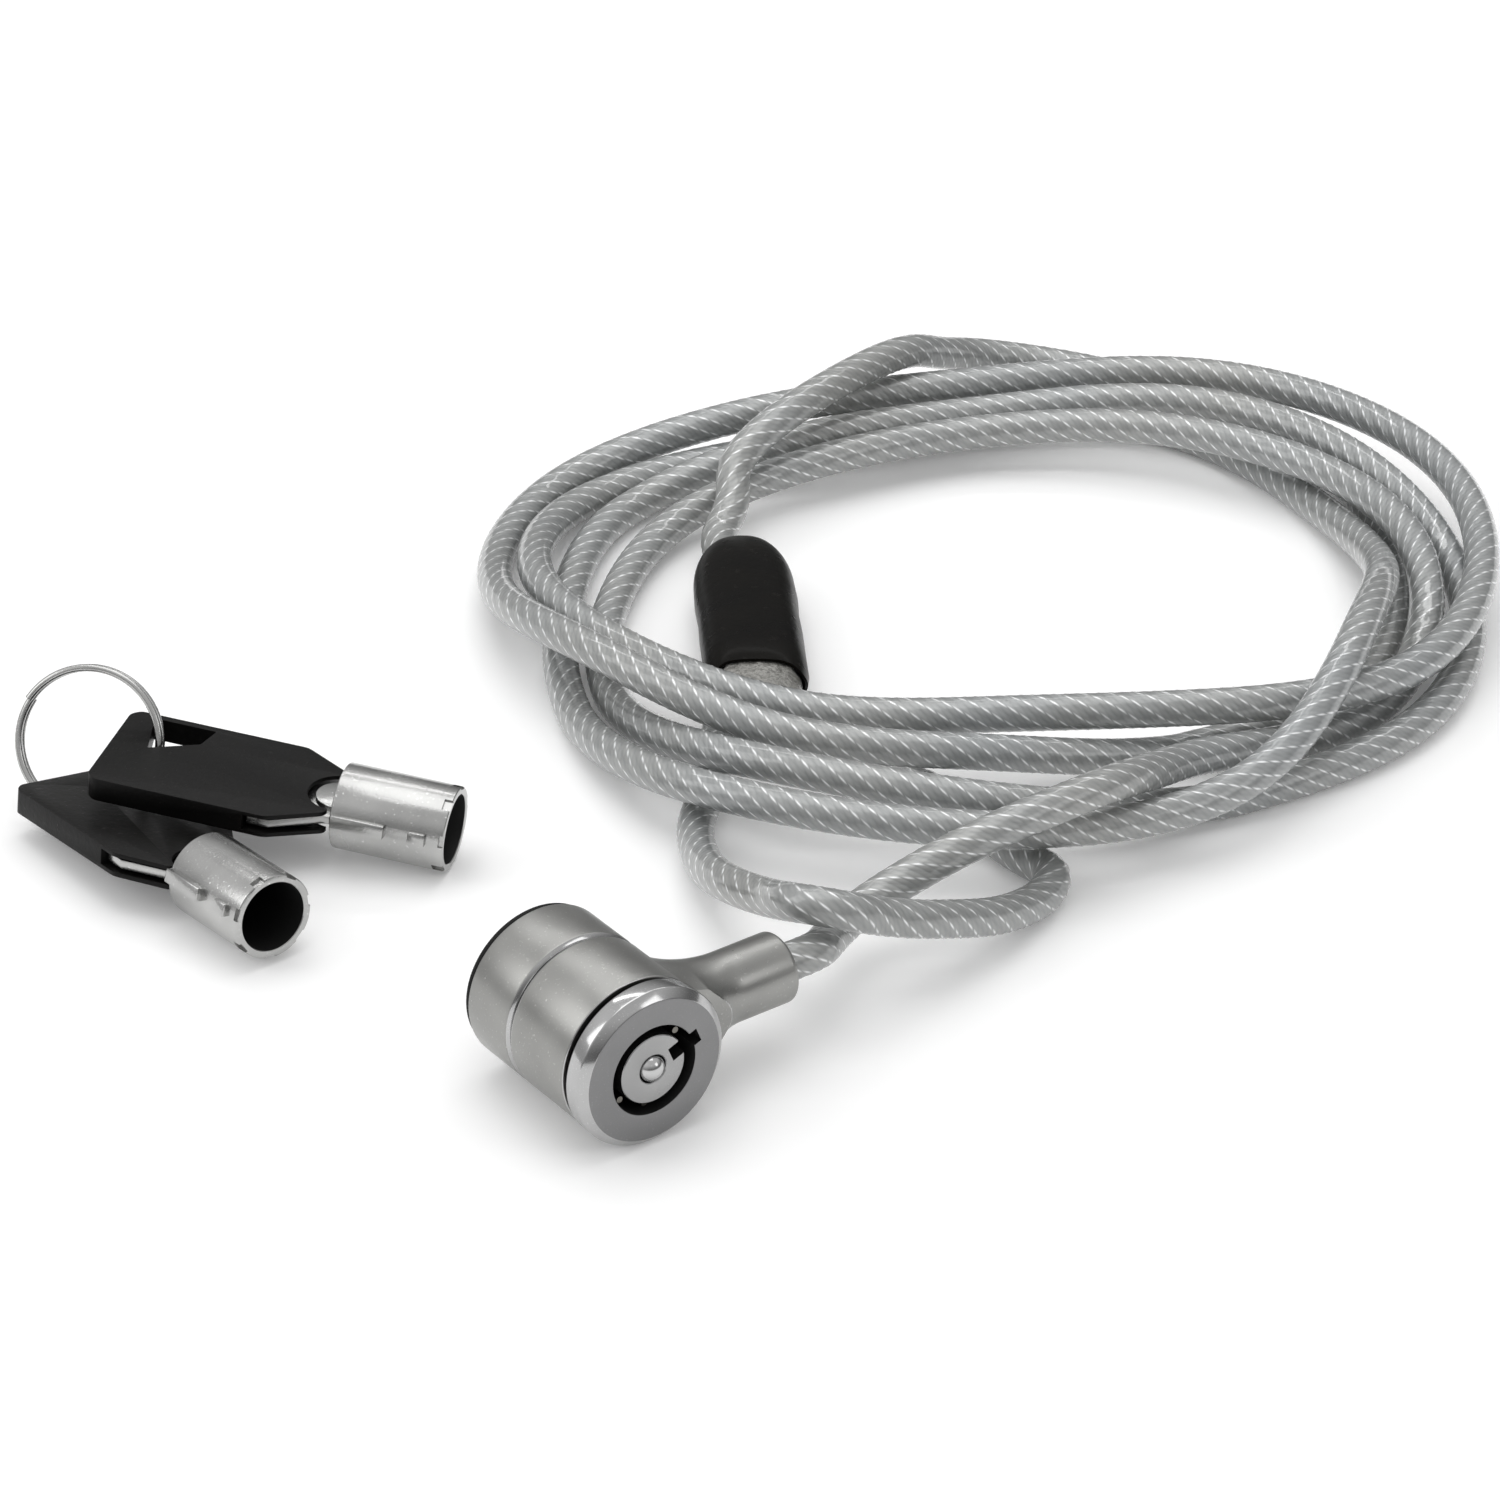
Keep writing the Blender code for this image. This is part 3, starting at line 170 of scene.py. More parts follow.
def turned(name: str, profile: list[Station], steps: int = 96, closed: bool = True) -> bpy.types.Object:
    """Turns a profile about Z by extruding and scaling a ring of points.

    Args:
        name: the piece's name.
        profile: (radius, height) in mm, none of them on the axis.
        steps: points round the axis.
        closed: whether the profile closes on itself. An open one is capped flat at both ends.

    Returns:
        The new object, in metres.
    """
    deselect()
    first_radius, first_height = profile[0]
    bpy.ops.mesh.primitive_circle_add(
        vertices=steps, radius=first_radius * MM, fill_type="NOTHING", location=(0, 0, first_height * MM)
    )
    piece = bpy.context.active_object
    piece.name = name
    bpy.ops.object.transform_apply(location=True, rotation=True, scale=True)
    bpy.ops.object.mode_set(mode="EDIT")
    bpy.ops.mesh.select_all(action="SELECT")
    radius, height = first_radius, first_height
    for next_radius, next_height in profile[1:] + ([profile[0]] if closed else []):
        rise = (next_height - height) * MM
        bpy.ops.mesh.extrude_region_move(TRANSFORM_OT_translate={"value": (0.0, 0.0, rise)})
        grow = next_radius / radius
        bpy.ops.transform.resize(value=(grow, grow, 1.0), center_override=(0, 0, next_height * MM))
        radius, height = next_radius, next_height
    return closed_up(piece, fill=not closed)


def block(name: str, low: Point, high: Point) -> bpy.types.Object:
    """A box between two corners in mm, for cutting and joining.

    Args:
        name: the object's name.
        low: its lowest corner.
        high: its highest corner.

    Returns:
        The new object, in metres.
    """
    deselect()
    middle = (Vector(low) + Vector(high)) / 2 * MM
    bpy.ops.mesh.primitive_cube_add(size=1.0, location=middle)
    piece = bpy.context.active_object
    piece.name = name
    piece.scale = (Vector(high) - Vector(low)) * MM
    bpy.ops.object.transform_apply(location=True, rotation=True, scale=True)
    return piece


def outline_plate(name: str, outlines: list[list[Station]], thickness: float) -> bpy.types.Object:
    """A flat plate about z = 0 from closed outlines in mm, of which the later ones are holes.

    Args:
        name: the object's name.
        outlines: the outer outline and then the holes.
        thickness: the plate's thickness in mm.

    Returns:
        The new mesh object, in metres.
    """
    curve = bpy.data.curves.new(name, "CURVE")
    curve.dimensions = "2D"
    curve.fill_mode = "BOTH"
    curve.extrude = thickness * MM / 2
    for outline in outlines:
        spline = curve.splines.new("POLY")
        spline.points.add(len(outline) - 1)
        for point, (x, y) in zip(spline.points, outline):
            point.co = (x * MM, y * MM, 0.0, 1.0)
        spline.use_cyclic_u = True
    made = bpy.data.objects.new(name, curve)
    bpy.context.scene.collection.objects.link(made)
    activate(made)
    bpy.ops.object.convert(target="MESH")
    return closed_up(bpy.context.active_object)


def lofted(name: str, rings: list[list[Vector]]) -> bpy.types.Object:
    """A closed skin through rings of equally many points, flat at both ends.

    Args:
        name: the object's name.
        rings: the rings in metres, each going round the same way.

    Returns:
        The new object.
    """
    shape = bmesh.new()
    rows = [[shape.verts.new(point) for point in ring] for ring in rings]
    around = len(rings[0])
    for row, following in zip(rows, rows[1:]):
        for i in range(around):
            j = (i + 1) % around
            shape.faces.new((row[i], row[j], following[j], following[i]))
    shape.faces.new(rows[0])
    shape.faces.new(rows[-1])
    bmesh.ops.recalc_face_normals(shape, faces=shape.faces)
    mesh = bpy.data.meshes.new(name)
    shape.to_mesh(mesh)
    shape.free()
    piece = bpy.data.objects.new(name, mesh)
    bpy.context.scene.collection.objects.link(piece)
    activate(piece)
    return piece


def boolean(piece: bpy.types.Object, tool: bpy.types.Object, operation: str = "DIFFERENCE") -> None:
    """Cuts the tool from the piece, or joins it on, and removes the tool.

    Args:
        piece: the object that changes.
        tool: the closed mesh that it is cut or joined with.
        operation: the Boolean's kind.
    """
    activate(piece)
    modifier = piece.modifiers.new("Cut", "BOOLEAN")
    modifier.operation = operation
    modifier.solver = "EXACT"
    modifier.object = tool
    bpy.ops.object.modifier_apply(modifier=modifier.name)
    bpy.data.objects.remove(tool, do_unlink=True)


def bevelled(piece: bpy.types.Object, width: float, segments: int = 2, angle: float = 35.0) -> None:
    """Rounds the piece's sharp edges.

    Args:
        piece: the object.
        width: the bevel's width in mm.
        segments: how many faces each rounding has.
        angle: edges that turn by more than this, in degrees, are rounded.
    """
    activate(piece)
    modifier = piece.modifiers.new("Edges", "BEVEL")
    modifier.width = width * MM
    modifier.segments = segments
    modifier.limit_method = "ANGLE"
    modifier.angle_limit = math.radians(angle)
    modifier.harden_normals = False
    bpy.ops.object.modifier_apply(modifier=modifier.name)


def smooth(piece: bpy.types.Object, angle: float = 30.0) -> None:
    """Shades the piece smooth, apart from its sharp edges.

    Args:
        piece: the object.
        angle: edges that turn by more than this, in degrees, stay sharp.
    """
    activate(piece)
    bpy.ops.object.shade_smooth_by_angle(angle=math.radians(angle))


def swept(
    name: str, path: np.ndarray, section: np.ndarray, twist: float = 0.0, caps: bool = True
) -> bpy.types.Object:
    """Carries a section along a path, with a UV map of length along it and turn round it.

    Args:
        name: the piece's name.
        path: the path's points in metres, one row each.
        section: the section's points, (across, up) in metres, going round once.
        twist: how far the section turns per metre of path, in radians.
        caps: whether both ends are closed.

    Returns:
        The new mesh object.
    """
    steps = np.linalg.norm(np.diff(path, axis=0), axis=1)
    along = np.concatenate([[0.0], np.cumsum(steps)])
    tangents = np.gradient(path, along, axis=0)
    tangents /= np.linalg.norm(tangents, axis=1)[:, None]
    normal = np.cross(tangents[0], (0.0, 0.0, 1.0))
    normal /= np.linalg.norm(normal)
    rows = []
    for point, tangent, distance in zip(path, tangents, along):
        normal = normal - tangent * normal.dot(tangent)
        normal /= np.linalg.norm(normal)
        binormal = np.cross(tangent, normal)
        turn = twist * distance
        across = math.cos(turn) * normal + math.sin(turn) * binormal
        up = math.cos(turn) * binormal - math.sin(turn) * normal
        rows.append(point + section[:, :1] * across + section[:, 1:] * up)
    count, around = len(rows), len(section)
    points = np.concatenate(rows)
    faces = []
    for i in range(count - 1):
        for j in range(around):
            k = (j + 1) % around
            faces.append((i * around + j, i * around + k, (i + 1) * around + k, (i + 1) * around + j))
    if caps:
        faces.append(tuple(range(around))[::-1])
        faces.append(tuple((count - 1) * around + j for j in range(around)))
    mesh = bpy.data.meshes.new(name)
    mesh.from_pydata(points.tolist(), [], faces)
    layer = mesh.uv_layers.new(name="along")
    for face in mesh.polygons[: (count - 1) * around]:
        i, j = divmod(face.index, around)
        for loop, (di, dj) in zip(face.loop_indices, ((0, 0), (0, 1), (1, 1), (1, 0))):
            layer.data[loop].uv = (along[i + di] / MM, (j + dj) / around)
    piece = bpy.data.objects.new(name, mesh)
    bpy.context.scene.collection.objects.link(piece)
    activate(piece)
    return closed_up(piece, weld=False)


def dress(
    piece: bpy.types.Object,
    place: Matrix,
    body: Body,
    nodes: tuple[str, ...],
    materials: list[bpy.types.Material],
) -> bpy.types.Object:
    """Lays a finished piece in the model, gives it its materials and puts it on its body.

    Args:
        piece: the object, modelled in its own frame.
        place: the frame that it is laid in.
        body: the body that it moves with.
        nodes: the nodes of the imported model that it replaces.
        materials: its materials, the first for faces that name no other.

    Returns:
        The same object.
    """
    piece.data.transform(place)
    piece.data.update()
    for material in materials:
        piece.data.materials.append(material)
    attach(piece, body.value)
    if nodes:
        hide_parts(*nodes)
    LOG.info("%s: %d faces on %s", piece.name, len(piece.data.polygons), body.value)
    return piece


# ---- Shader groups -------------------------------------------------------------------------------
class Nodes:
    """A short way to add and join the nodes of one tree."""

    def __init__(self, tree: bpy.types.NodeTree) -> None:
        """Takes the tree that the nodes go into.

        Args:
            tree: the node tree.
        """
        self.tree = tree

    def add(self, kind: str, **values: object) -> bpy.types.Node:
        """Adds a node and sets its plain properties.

        Args:
            kind: the node's type.
            values: property names and what they are set to.

        Returns:
            The node.
        """
        node = self.tree.nodes.new(kind)
        for name, value in values.items():
            setattr(node, name, value)
        return node

    def join(self, source: bpy.types.NodeSocket, target: bpy.types.NodeSocket) -> None:
        """Links an output to an input.

        Args:
            source: the output.
            target: the input.
        """
        self.tree.links.new(source, target)

    def math(
        self, operation: str, first: object, second: object = 0.0, clamp: bool = False
    ) -> bpy.types.NodeSocket:
        """One Math node.

        Args:
            operation: what it does.
            first: a socket or a number.
            second: a socket or a number.
            clamp: whether the result is kept from 0 to 1.

        Returns:
            Its output.
        """
        node = self.add("ShaderNodeMath", operation=operation, use_clamp=clamp)
        for socket, value in zip(node.inputs, (first, second)):
            if isinstance(value, bpy.types.NodeSocket):
                self.join(value, socket)
            else:
                socket.default_value = value
        return node.outputs[0]

    def noise(self, vector: bpy.types.NodeSocket, scale: float, detail: float = 3.0) -> bpy.types.NodeSocket:
        """One Noise Texture node.

        Args:
            vector: where it is looked up.
            scale: its scale per metre.
            detail: how many finer layers it has.

        Returns:
            Its value.
        """
        node = self.add("ShaderNodeTexNoise")
        node.inputs["Scale"].default_value = scale
        node.inputs["Detail"].default_value = detail
        self.join(vector, node.inputs["Vector"])
        return node.outputs[0]

    def spread(self, value: bpy.types.NodeSocket, low: float, high: float) -> bpy.types.NodeSocket:
        """Maps a value from 0..1 to low..high.

        Args:
            value: the socket.
            low: the result at 0.
            high: the result at 1.

        Returns:
            The mapped value.
        """
        node = self.add("ShaderNodeMapRange")
        node.inputs["To Min"].default_value = low
        node.inputs["To Max"].default_value = high
        self.join(value, node.inputs["Value"])
        return node.outputs[0]

    def bump(
        self, height: bpy.types.NodeSocket, strength: float, distance: float, shader: bpy.types.Node
    ) -> None:
        """One Bump node into the shader's normal.

        Args:
            height: the height's socket.
            strength: the bump's strength, 0 to 1.
            distance: its depth in mm.
            shader: the Principled shader.
        """
        node = self.add("ShaderNodeBump")
        node.inputs["Strength"].default_value = strength
        node.inputs["Distance"].default_value = distance * MM
        self.join(height, node.inputs["Height"])
        self.join(node.outputs[0], shader.inputs["Normal"])

    def mix(self, factor: object, first: object, second: object) -> bpy.types.NodeSocket:
        """A colour mix of two colours or sockets.

        Args:
            factor: a socket or a number, 0 for the first colour.
            first: a colour or a socket.
            second: a colour or a socket.

        Returns:
            The mixed colour.
        """
        node = self.add("ShaderNodeMix", data_type="RGBA")
        for index, value in ((0, factor), (6, first), (7, second)):
            socket = node.inputs[index]
            if isinstance(value, bpy.types.NodeSocket):
                self.join(value, socket)
            else:
                socket.default_value = value if index == 0 else (*value, 1.0)
        return node.outputs[2]


def new_group(
    name: str, inputs: tuple[tuple[str, float], ...], outputs: tuple[str, ...]
) -> tuple[Nodes, bpy.types.Node, bpy.types.Node]:
    """An empty shader group with number inputs and outputs.

    Args:
        name: the group's name.
        inputs: names and default values.
        outputs: names.

    Returns:
        Its nodes helper, its input node and its output node.
    """
    tree = bpy.data.node_groups.new(name, "ShaderNodeTree")
    for label, value in inputs:
        socket = tree.interface.new_socket(label, in_out="INPUT", socket_type="NodeSocketFloat")
        socket.default_value = value
    for label in outputs:
        tree.interface.new_socket(label, in_out="OUTPUT", socket_type="NodeSocketFloat")
    nodes = Nodes(tree)
    return nodes, nodes.add("NodeGroupInput"), nodes.add("NodeGroupOutput")


def grain_group() -> bpy.types.NodeTree:
    """Fine grain and soft mottling in object space, which every metal and plastic here shares.

    Returns:
        The group, with a height, a mask of specks and a mask of broad patches.
    """
    found = bpy.data.node_groups.get("Surface grain")
    if found:
        return found
    nodes, given, result = new_group("Surface grain", (("Grain size", 1.0),), ("Height", "Specks", "Patches"))
    place = nodes.add("ShaderNodeTexCoord").outputs["Object"]
    scaled = nodes.add("ShaderNodeVectorMath", operation="SCALE")
    nodes.join(place, scaled.inputs[0])
    nodes.join(given.outputs[0], scaled.inputs["Scale"])
    fine = nodes.noise(scaled.outputs[0], 5200.0, 3.0)
    specks = nodes.noise(scaled.outputs[0], 6000.0, 2.0)
    patches = nodes.noise(place, 150.0, 2.0)
    nodes.join(fine, result.inputs["Height"])
    raised = nodes.math("MULTIPLY", nodes.math("SUBTRACT", specks, 0.64), 8.0, clamp=True)
    nodes.join(raised, result.inputs["Specks"])
    nodes.join(patches, result.inputs["Patches"])
    return nodes.tree


def start_material(name: str) -> tuple[Nodes, bpy.types.Node]:
    """A new material with a Principled shader.

    Args:
        name: the material's name.

    Returns:
        Its nodes helper and its shader.
    """
    material = bpy.data.materials.new(name)
    material.use_nodes = True
    nodes = Nodes(material.node_tree)
    shader = material.node_tree.nodes["Principled BSDF"]
    return nodes, shader


@dataclass(frozen=True)
class GrainedFinish:
    """A metal or plastic with fine grain, specks and broad soft patches."""

    name: str
    dark: Point
    light: Point
    metallic: float
    rough_low: float
    rough_high: float
    grain: float = 1.0
    bump: float = 0.02
    coat: float = 0.0
    specular: float = 0.5

    def material(self) -> bpy.types.Material:
        """The material of this finish, built once.

        Returns:
            The material.
        """
        found = bpy.data.materials.get(self.name)
        if found:
            return found
        nodes, shader = start_material(self.name)
        group = nodes.add("ShaderNodeGroup", node_tree=grain_group())
        group.inputs["Grain size"].default_value = self.grain
        tone = nodes.mix(group.outputs["Patches"], self.dark, self.light)
        shine = tuple(min(part * 1.7 + 0.004, 0.95) for part in self.light)
        tone = nodes.mix(nodes.math("MULTIPLY", group.outputs["Specks"], 0.4), tone, shine)
        nodes.join(tone, shader.inputs["Base Color"])
        rough = nodes.spread(group.outputs["Patches"], self.rough_low, self.rough_high)
        rough = nodes.math("SUBTRACT", rough, nodes.math("MULTIPLY", group.outputs["Specks"], 0.08))
        nodes.join(rough, shader.inputs["Roughness"])
        raised = nodes.math("MULTIPLY", group.outputs["Specks"], 0.6)
        height = nodes.math("ADD", group.outputs["Height"], raised)
        nodes.bump(height, min(self.bump * 8, 1.0), self.bump, shader)
        shader.inputs["Metallic"].default_value = self.metallic
        shader.inputs["Coat Weight"].default_value = self.coat
        shader.inputs["Coat Roughness"].default_value = 0.06
        shader.inputs["Specular IOR Level"].default_value = self.specular
        return bpy.data.materials[self.name]


@dataclass(frozen=True)
class RopeFinish:
    """Twisted wire strands under a clear glossy coat, with painted glints and painted shade in the grooves.
    """

    name: str
    strands: int
    wires_per_mm: float
    line_width: float
    cool: Point
    warm: Point
    # Colour of the painted shade in the grooves between strands and between the wire dashes.
    painted_groove_shade: Point
    # Colour of the painted glints on the wires.
    painted_glint: Point

    def material(self) -> bpy.types.Material:
        """The material of the rope, built once.

        Returns:
            The material.
        """
        found = bpy.data.materials.get(self.name)
        if found:
            return found
        nodes, shader = start_material(self.name)
        given = nodes.add("ShaderNodeUVMap", uv_map="along").outputs[0]
        parts = nodes.add("ShaderNodeSeparateXYZ")
        nodes.join(given, parts.inputs[0])
        along, around = parts.outputs[0], parts.outputs[1]
        strand_turn = nodes.math("MULTIPLY", around, float(self.strands))
        strand = nodes.math("FRACT", strand_turn)
        offset = nodes.math("ABSOLUTE", nodes.math("SUBTRACT", strand, 0.5))
        crest = nodes.math("SUBTRACT", 1.0, nodes.math("MULTIPLY", offset, 1.0 / self.line_width), clamp=True)
        tilt = nodes.math("MULTIPLY", strand_turn, -1.7)
        wire = nodes.math("FRACT", nodes.math("ADD", nodes.math("MULTIPLY", along, self.wires_per_mm), tilt))
        wire_offset = nodes.math("ABSOLUTE", nodes.math("SUBTRACT", wire, 0.5))
        dash = nodes.math("SUBTRACT", 1.35, nodes.math("MULTIPLY", wire_offset, 2.9), clamp=True)
        place = nodes.add("ShaderNodeTexCoord").outputs["Object"]
        patches = nodes.noise(place, 45.0, 2.0)
        cloud = nodes.noise(place, 420.0, 2.0)
        glint = nodes.spread(cloud, 0.5, 1.6)
        # Painted glint: near-white dashes along each strand's crown stand in for the wires' highlights.
        line = nodes.math("MULTIPLY", nodes.math("MULTIPLY", crest, dash), glint, clamp=True)
        tone = nodes.mix(patches, self.cool, self.warm)
        # Painted shade: the grooves between strands and the gaps between wire dashes are darkened.
        groove = nodes.math("SUBTRACT", nodes.math("MULTIPLY", offset, 2.0), 0.55, clamp=True)
        tone = nodes.mix(nodes.math("MULTIPLY", groove, 0.9), tone, self.painted_groove_shade)
        tone = nodes.mix(nodes.math("MULTIPLY", nodes.math("SUBTRACT", 1.0, dash), 0.3), tone, self.painted_groove_shade)
        tone = nodes.mix(line, tone, self.painted_glint)
        nodes.join(tone, shader.inputs["Base Color"])
        nodes.join(nodes.spread(cloud, 0.3, 0.55), shader.inputs["Roughness"])
        height = nodes.math("ADD", nodes.math("MULTIPLY", offset, -2.0), nodes.math("MULTIPLY", dash, 0.3))
        nodes.bump(height, 0.6, 0.12, shader)
        shader.inputs["Metallic"].default_value = 0.35
        shader.inputs["Coat Weight"].default_value = 1.0
        shader.inputs["Coat Roughness"].default_value = 0.05
        shader.inputs["Coat IOR"].default_value = 1.5
        return bpy.data.materials[self.name]


CAST = GrainedFinish("cast_nickel", (0.24, 0.24, 0.232), (0.39, 0.388, 0.375), 1.0, 0.24, 0.42, 0.6, 0.03)
FACE = GrainedFinish("face_steel", (0.2, 0.2, 0.202), (0.26, 0.26, 0.262), 1.0, 0.28, 0.4, 1.2, 0.008)
POLISHED = GrainedFinish("polished_edge", (0.36, 0.36, 0.36), (0.56, 0.56, 0.56), 1.0, 0.08, 0.18, 1.0, 0.002)
POST = GrainedFinish("post_steel", (0.3, 0.3, 0.3), (0.4, 0.4, 0.4), 1.0, 0.2, 0.32, 1.4, 0.006)
BALL = GrainedFinish("ball_steel", (0.45, 0.45, 0.45), (0.6, 0.6, 0.6), 1.0, 0.12, 0.2, 1.4, 0.006)
# Near-black painted shade for the inside of the key slot, the foot of the post and the keys' tube bores.
BORE_SHADE = GrainedFinish("painted_bore_shade", (0.004, 0.004, 0.004), (0.012, 0.012, 0.012), 0.3, 0.5, 0.7)
KEY_CHROME = GrainedFinish("key_plating", (0.3, 0.3, 0.296), (0.58, 0.58, 0.57), 1.0, 0.14, 0.32, 0.5, 0.04)
# Steel darkened to paint the shade that the pins sit in, down in their holes behind the face.
PIN_SHADE_STEEL = GrainedFinish("pin_steel_painted_shade", (0.15, 0.14, 0.12), (0.24, 0.23, 0.21), 1.0, 0.25, 0.4)
ALUMINIUM = GrainedFinish("pressed_aluminium", (0.5, 0.5, 0.49), (0.62, 0.62, 0.6), 1.0, 0.35, 0.5)
RUBBER = GrainedFinish(
    "black_rubber", (0.006, 0.006, 0.006), (0.015, 0.015, 0.015), 0.0, 0.6, 0.8, specular=0.2
)
PLASTIC = GrainedFinish(
    "black_moulding", (0.0015, 0.0015, 0.0015), (0.006, 0.0055, 0.005), 0.0, 0.34, 0.46, 0.3, 0.06,
    specular=0.15,
)
DIP = GrainedFinish(
    "black_dip", (0.0005, 0.0005, 0.0008), (0.006, 0.0052, 0.0036), 0.0, 0.22, 0.36, 0.14, 0.07, 0.02,
    specular=0.05,
)
FILM = GrainedFinish(
    "cloudy_film", (0.1, 0.1, 0.09), (0.36, 0.352, 0.33), 0.2, 0.18, 0.4, 0.3, 0.6, 0.6, specular=0.5
)
# The last two colours are the painted groove shade and the painted glints on the wires.
ROPE = RopeFinish(
    "coated_wire_rope", 7, 0.8, 0.11,
    (0.31, 0.33, 0.345), (0.345, 0.34, 0.315), (0.22, 0.23, 0.23), (0.97, 0.98, 0.99),
)


# ---- Wire rope -----------------------------------------------------------------------------------
class SmoothLine:
    """A natural cubic spline through points, by the distance along their chords."""

    def __init__(self, points: list[Point], floor: float) -> None:
        """Fits the line.

        Args:
            points: the points in metres.
            floor: the lowest that the line may lie.
        """
        self.floor = floor
        self.points = np.array(points, float)
        chords = np.linalg.norm(np.diff(self.points, axis=0), axis=1)
        self.at = np.concatenate([[0.0], np.cumsum(chords)])
        count = len(self.points)
        system = np.eye(count)
        pulls = np.zeros((count, 3))
        for i in range(1, count - 1):
            before, after = chords[i - 1], chords[i]
            system[i, i - 1 : i + 2] = before, 2 * (before + after), after
            ahead = (self.points[i + 1] - self.points[i]) / after
            behind = (self.points[i] - self.points[i - 1]) / before
            pulls[i] = 6 * (ahead - behind)
        self.bends = np.linalg.solve(system, pulls)

    def sampled(self, step: float) -> np.ndarray:
        """Points at even steps along the line.

        Args:
            step: about how far apart they are, in metres.

        Returns:
            One row for each point.
        """
        count = max(int(round(self.at[-1] / step)), 2)
        places = np.linspace(0.0, self.at[-1], count + 1)
        index = np.clip(np.searchsorted(self.at, places, side="right") - 1, 0, len(self.at) - 2)
        span = (self.at[index + 1] - self.at[index])[:, None]
        left = self.at[index + 1][:, None] - places[:, None]
        right = places[:, None] - self.at[index][:, None]
        bend = (self.bends[index] * left**3 + self.bends[index + 1] * right**3) / (6 * span)
        start = self.points[index] / span - self.bends[index] * span / 6
        end = self.points[index + 1] / span - self.bends[index + 1] * span / 6
        found = bend + start * left + end * right
        found[:, 2] = np.maximum(found[:, 2], self.floor)
        return found


LOOP_RADII = (
    (54.6, 57.5, 51.5, 46.8, 43.9, 39.2, 40.4, 46.3, 50.2, 54.6, 55.0, 45.4),
    (44.8, 54.6, 58.1, 56.0, 51.0, 39.4, 35.2, 38.3, 44.0, 50.0, 50.2, 43.2),
    (46.0, 48.0, 45.3, 44.4, 46.5, 54.2, 57.5, 58.5, 51.9, 46.6, 45.3, 38.6),
    (40.0, 46.8, 50.8, 54.2, 54.0, 50.2, 51.5, 51.8, 47.0, 41.2, 37.8, 33.2),
    (35.2, 39.1, 45.6, 49.4, 48.6),
)
LOOP_HEIGHTS = (
    (5.8, 2.0, 2.0, 2.0, 2.0, 2.0, 5.8, 8.4, 10.0, 4.2, 2.6, 6.2),
    (6.6, 6.7, 7.7, 7.5, 6.9, 7.6, 7.5, 6.8, 7.4, 5.6, 2.1, 2.0),
    (2.0, 2.0, 2.3, 6.8, 12.2, 7.2, 6.7, 7.1, 2.0, 2.0, 2.0, 5.2),
    (5.1, 6.6, 7.0, 3.2, 2.0, 2.0, 6.5, 7.6, 2.2, 2.0, 3.0, 5.0),
    (5.0, 6.5, 6.9, 6.4, 2.0),
)
TAIL_POINTS = (
    (-2.0, 46.6, 5.9), (-1.9, 49.6, 7.8), (-0.5, 52.7, 9.2), (3.4, 57.0, 11.0), (7.8, 61.9, 11.8),
    (13.4, 68.9, 11.7), (16.4, 72.6, 11.3), (19.7, 76.5, 10.2), (22.8, 80.6, 7.9),
)
LEAD_POINTS = (
    (60.8, -1.2, 2.5), (53.6, -6.9, 4.3), (47.5, -12.1, 6.3), (42.4, -18.9, 8.8), (36.6, -26.7, 11.5),
    (31.1, -30.9, 11.6), (25.8, -34.1, 11.0), (20.6, -36.6, 9.6), (15.4, -39.1, 7.7), (11.9, -41.4, 6.5),
    (9.2, -45.2, 6.3), (7.6, -49.3, 7.0),
)
EYE_POINTS = (
    (-3.1, 1.2, 2.4), (-3.8, -5.9, 2.0), (-4.7, -13.2, 2.0), (-5.6, -18.5, 2.0), (-5.4, -24.5, 2.6),
    (-4.0, -32.1, 4.5), (-1.3, -39.2, 7.0), (2.5, -46.1, 9.9), (6.4, -51.9, 12.8), (9.9, -51.9, 12.1),
    (12.6, -50.0, 10.4), (16.4, -47.9, 8.7), (20.0, -44.9, 6.8), (24.2, -41.0, 4.6), (27.7, -36.5, 2.8),
    (30.4, -32.1, 2.0), (31.0, -28.4, 2.0), (29.0, -25.9, 2.0), (24.6, -19.5, 2.0), (20.1, -12.8, 2.0),
    (16.0, -9.3, 2.0), (12.2, -6.6, 2.0), (8.6, -1.9, 2.0),
)


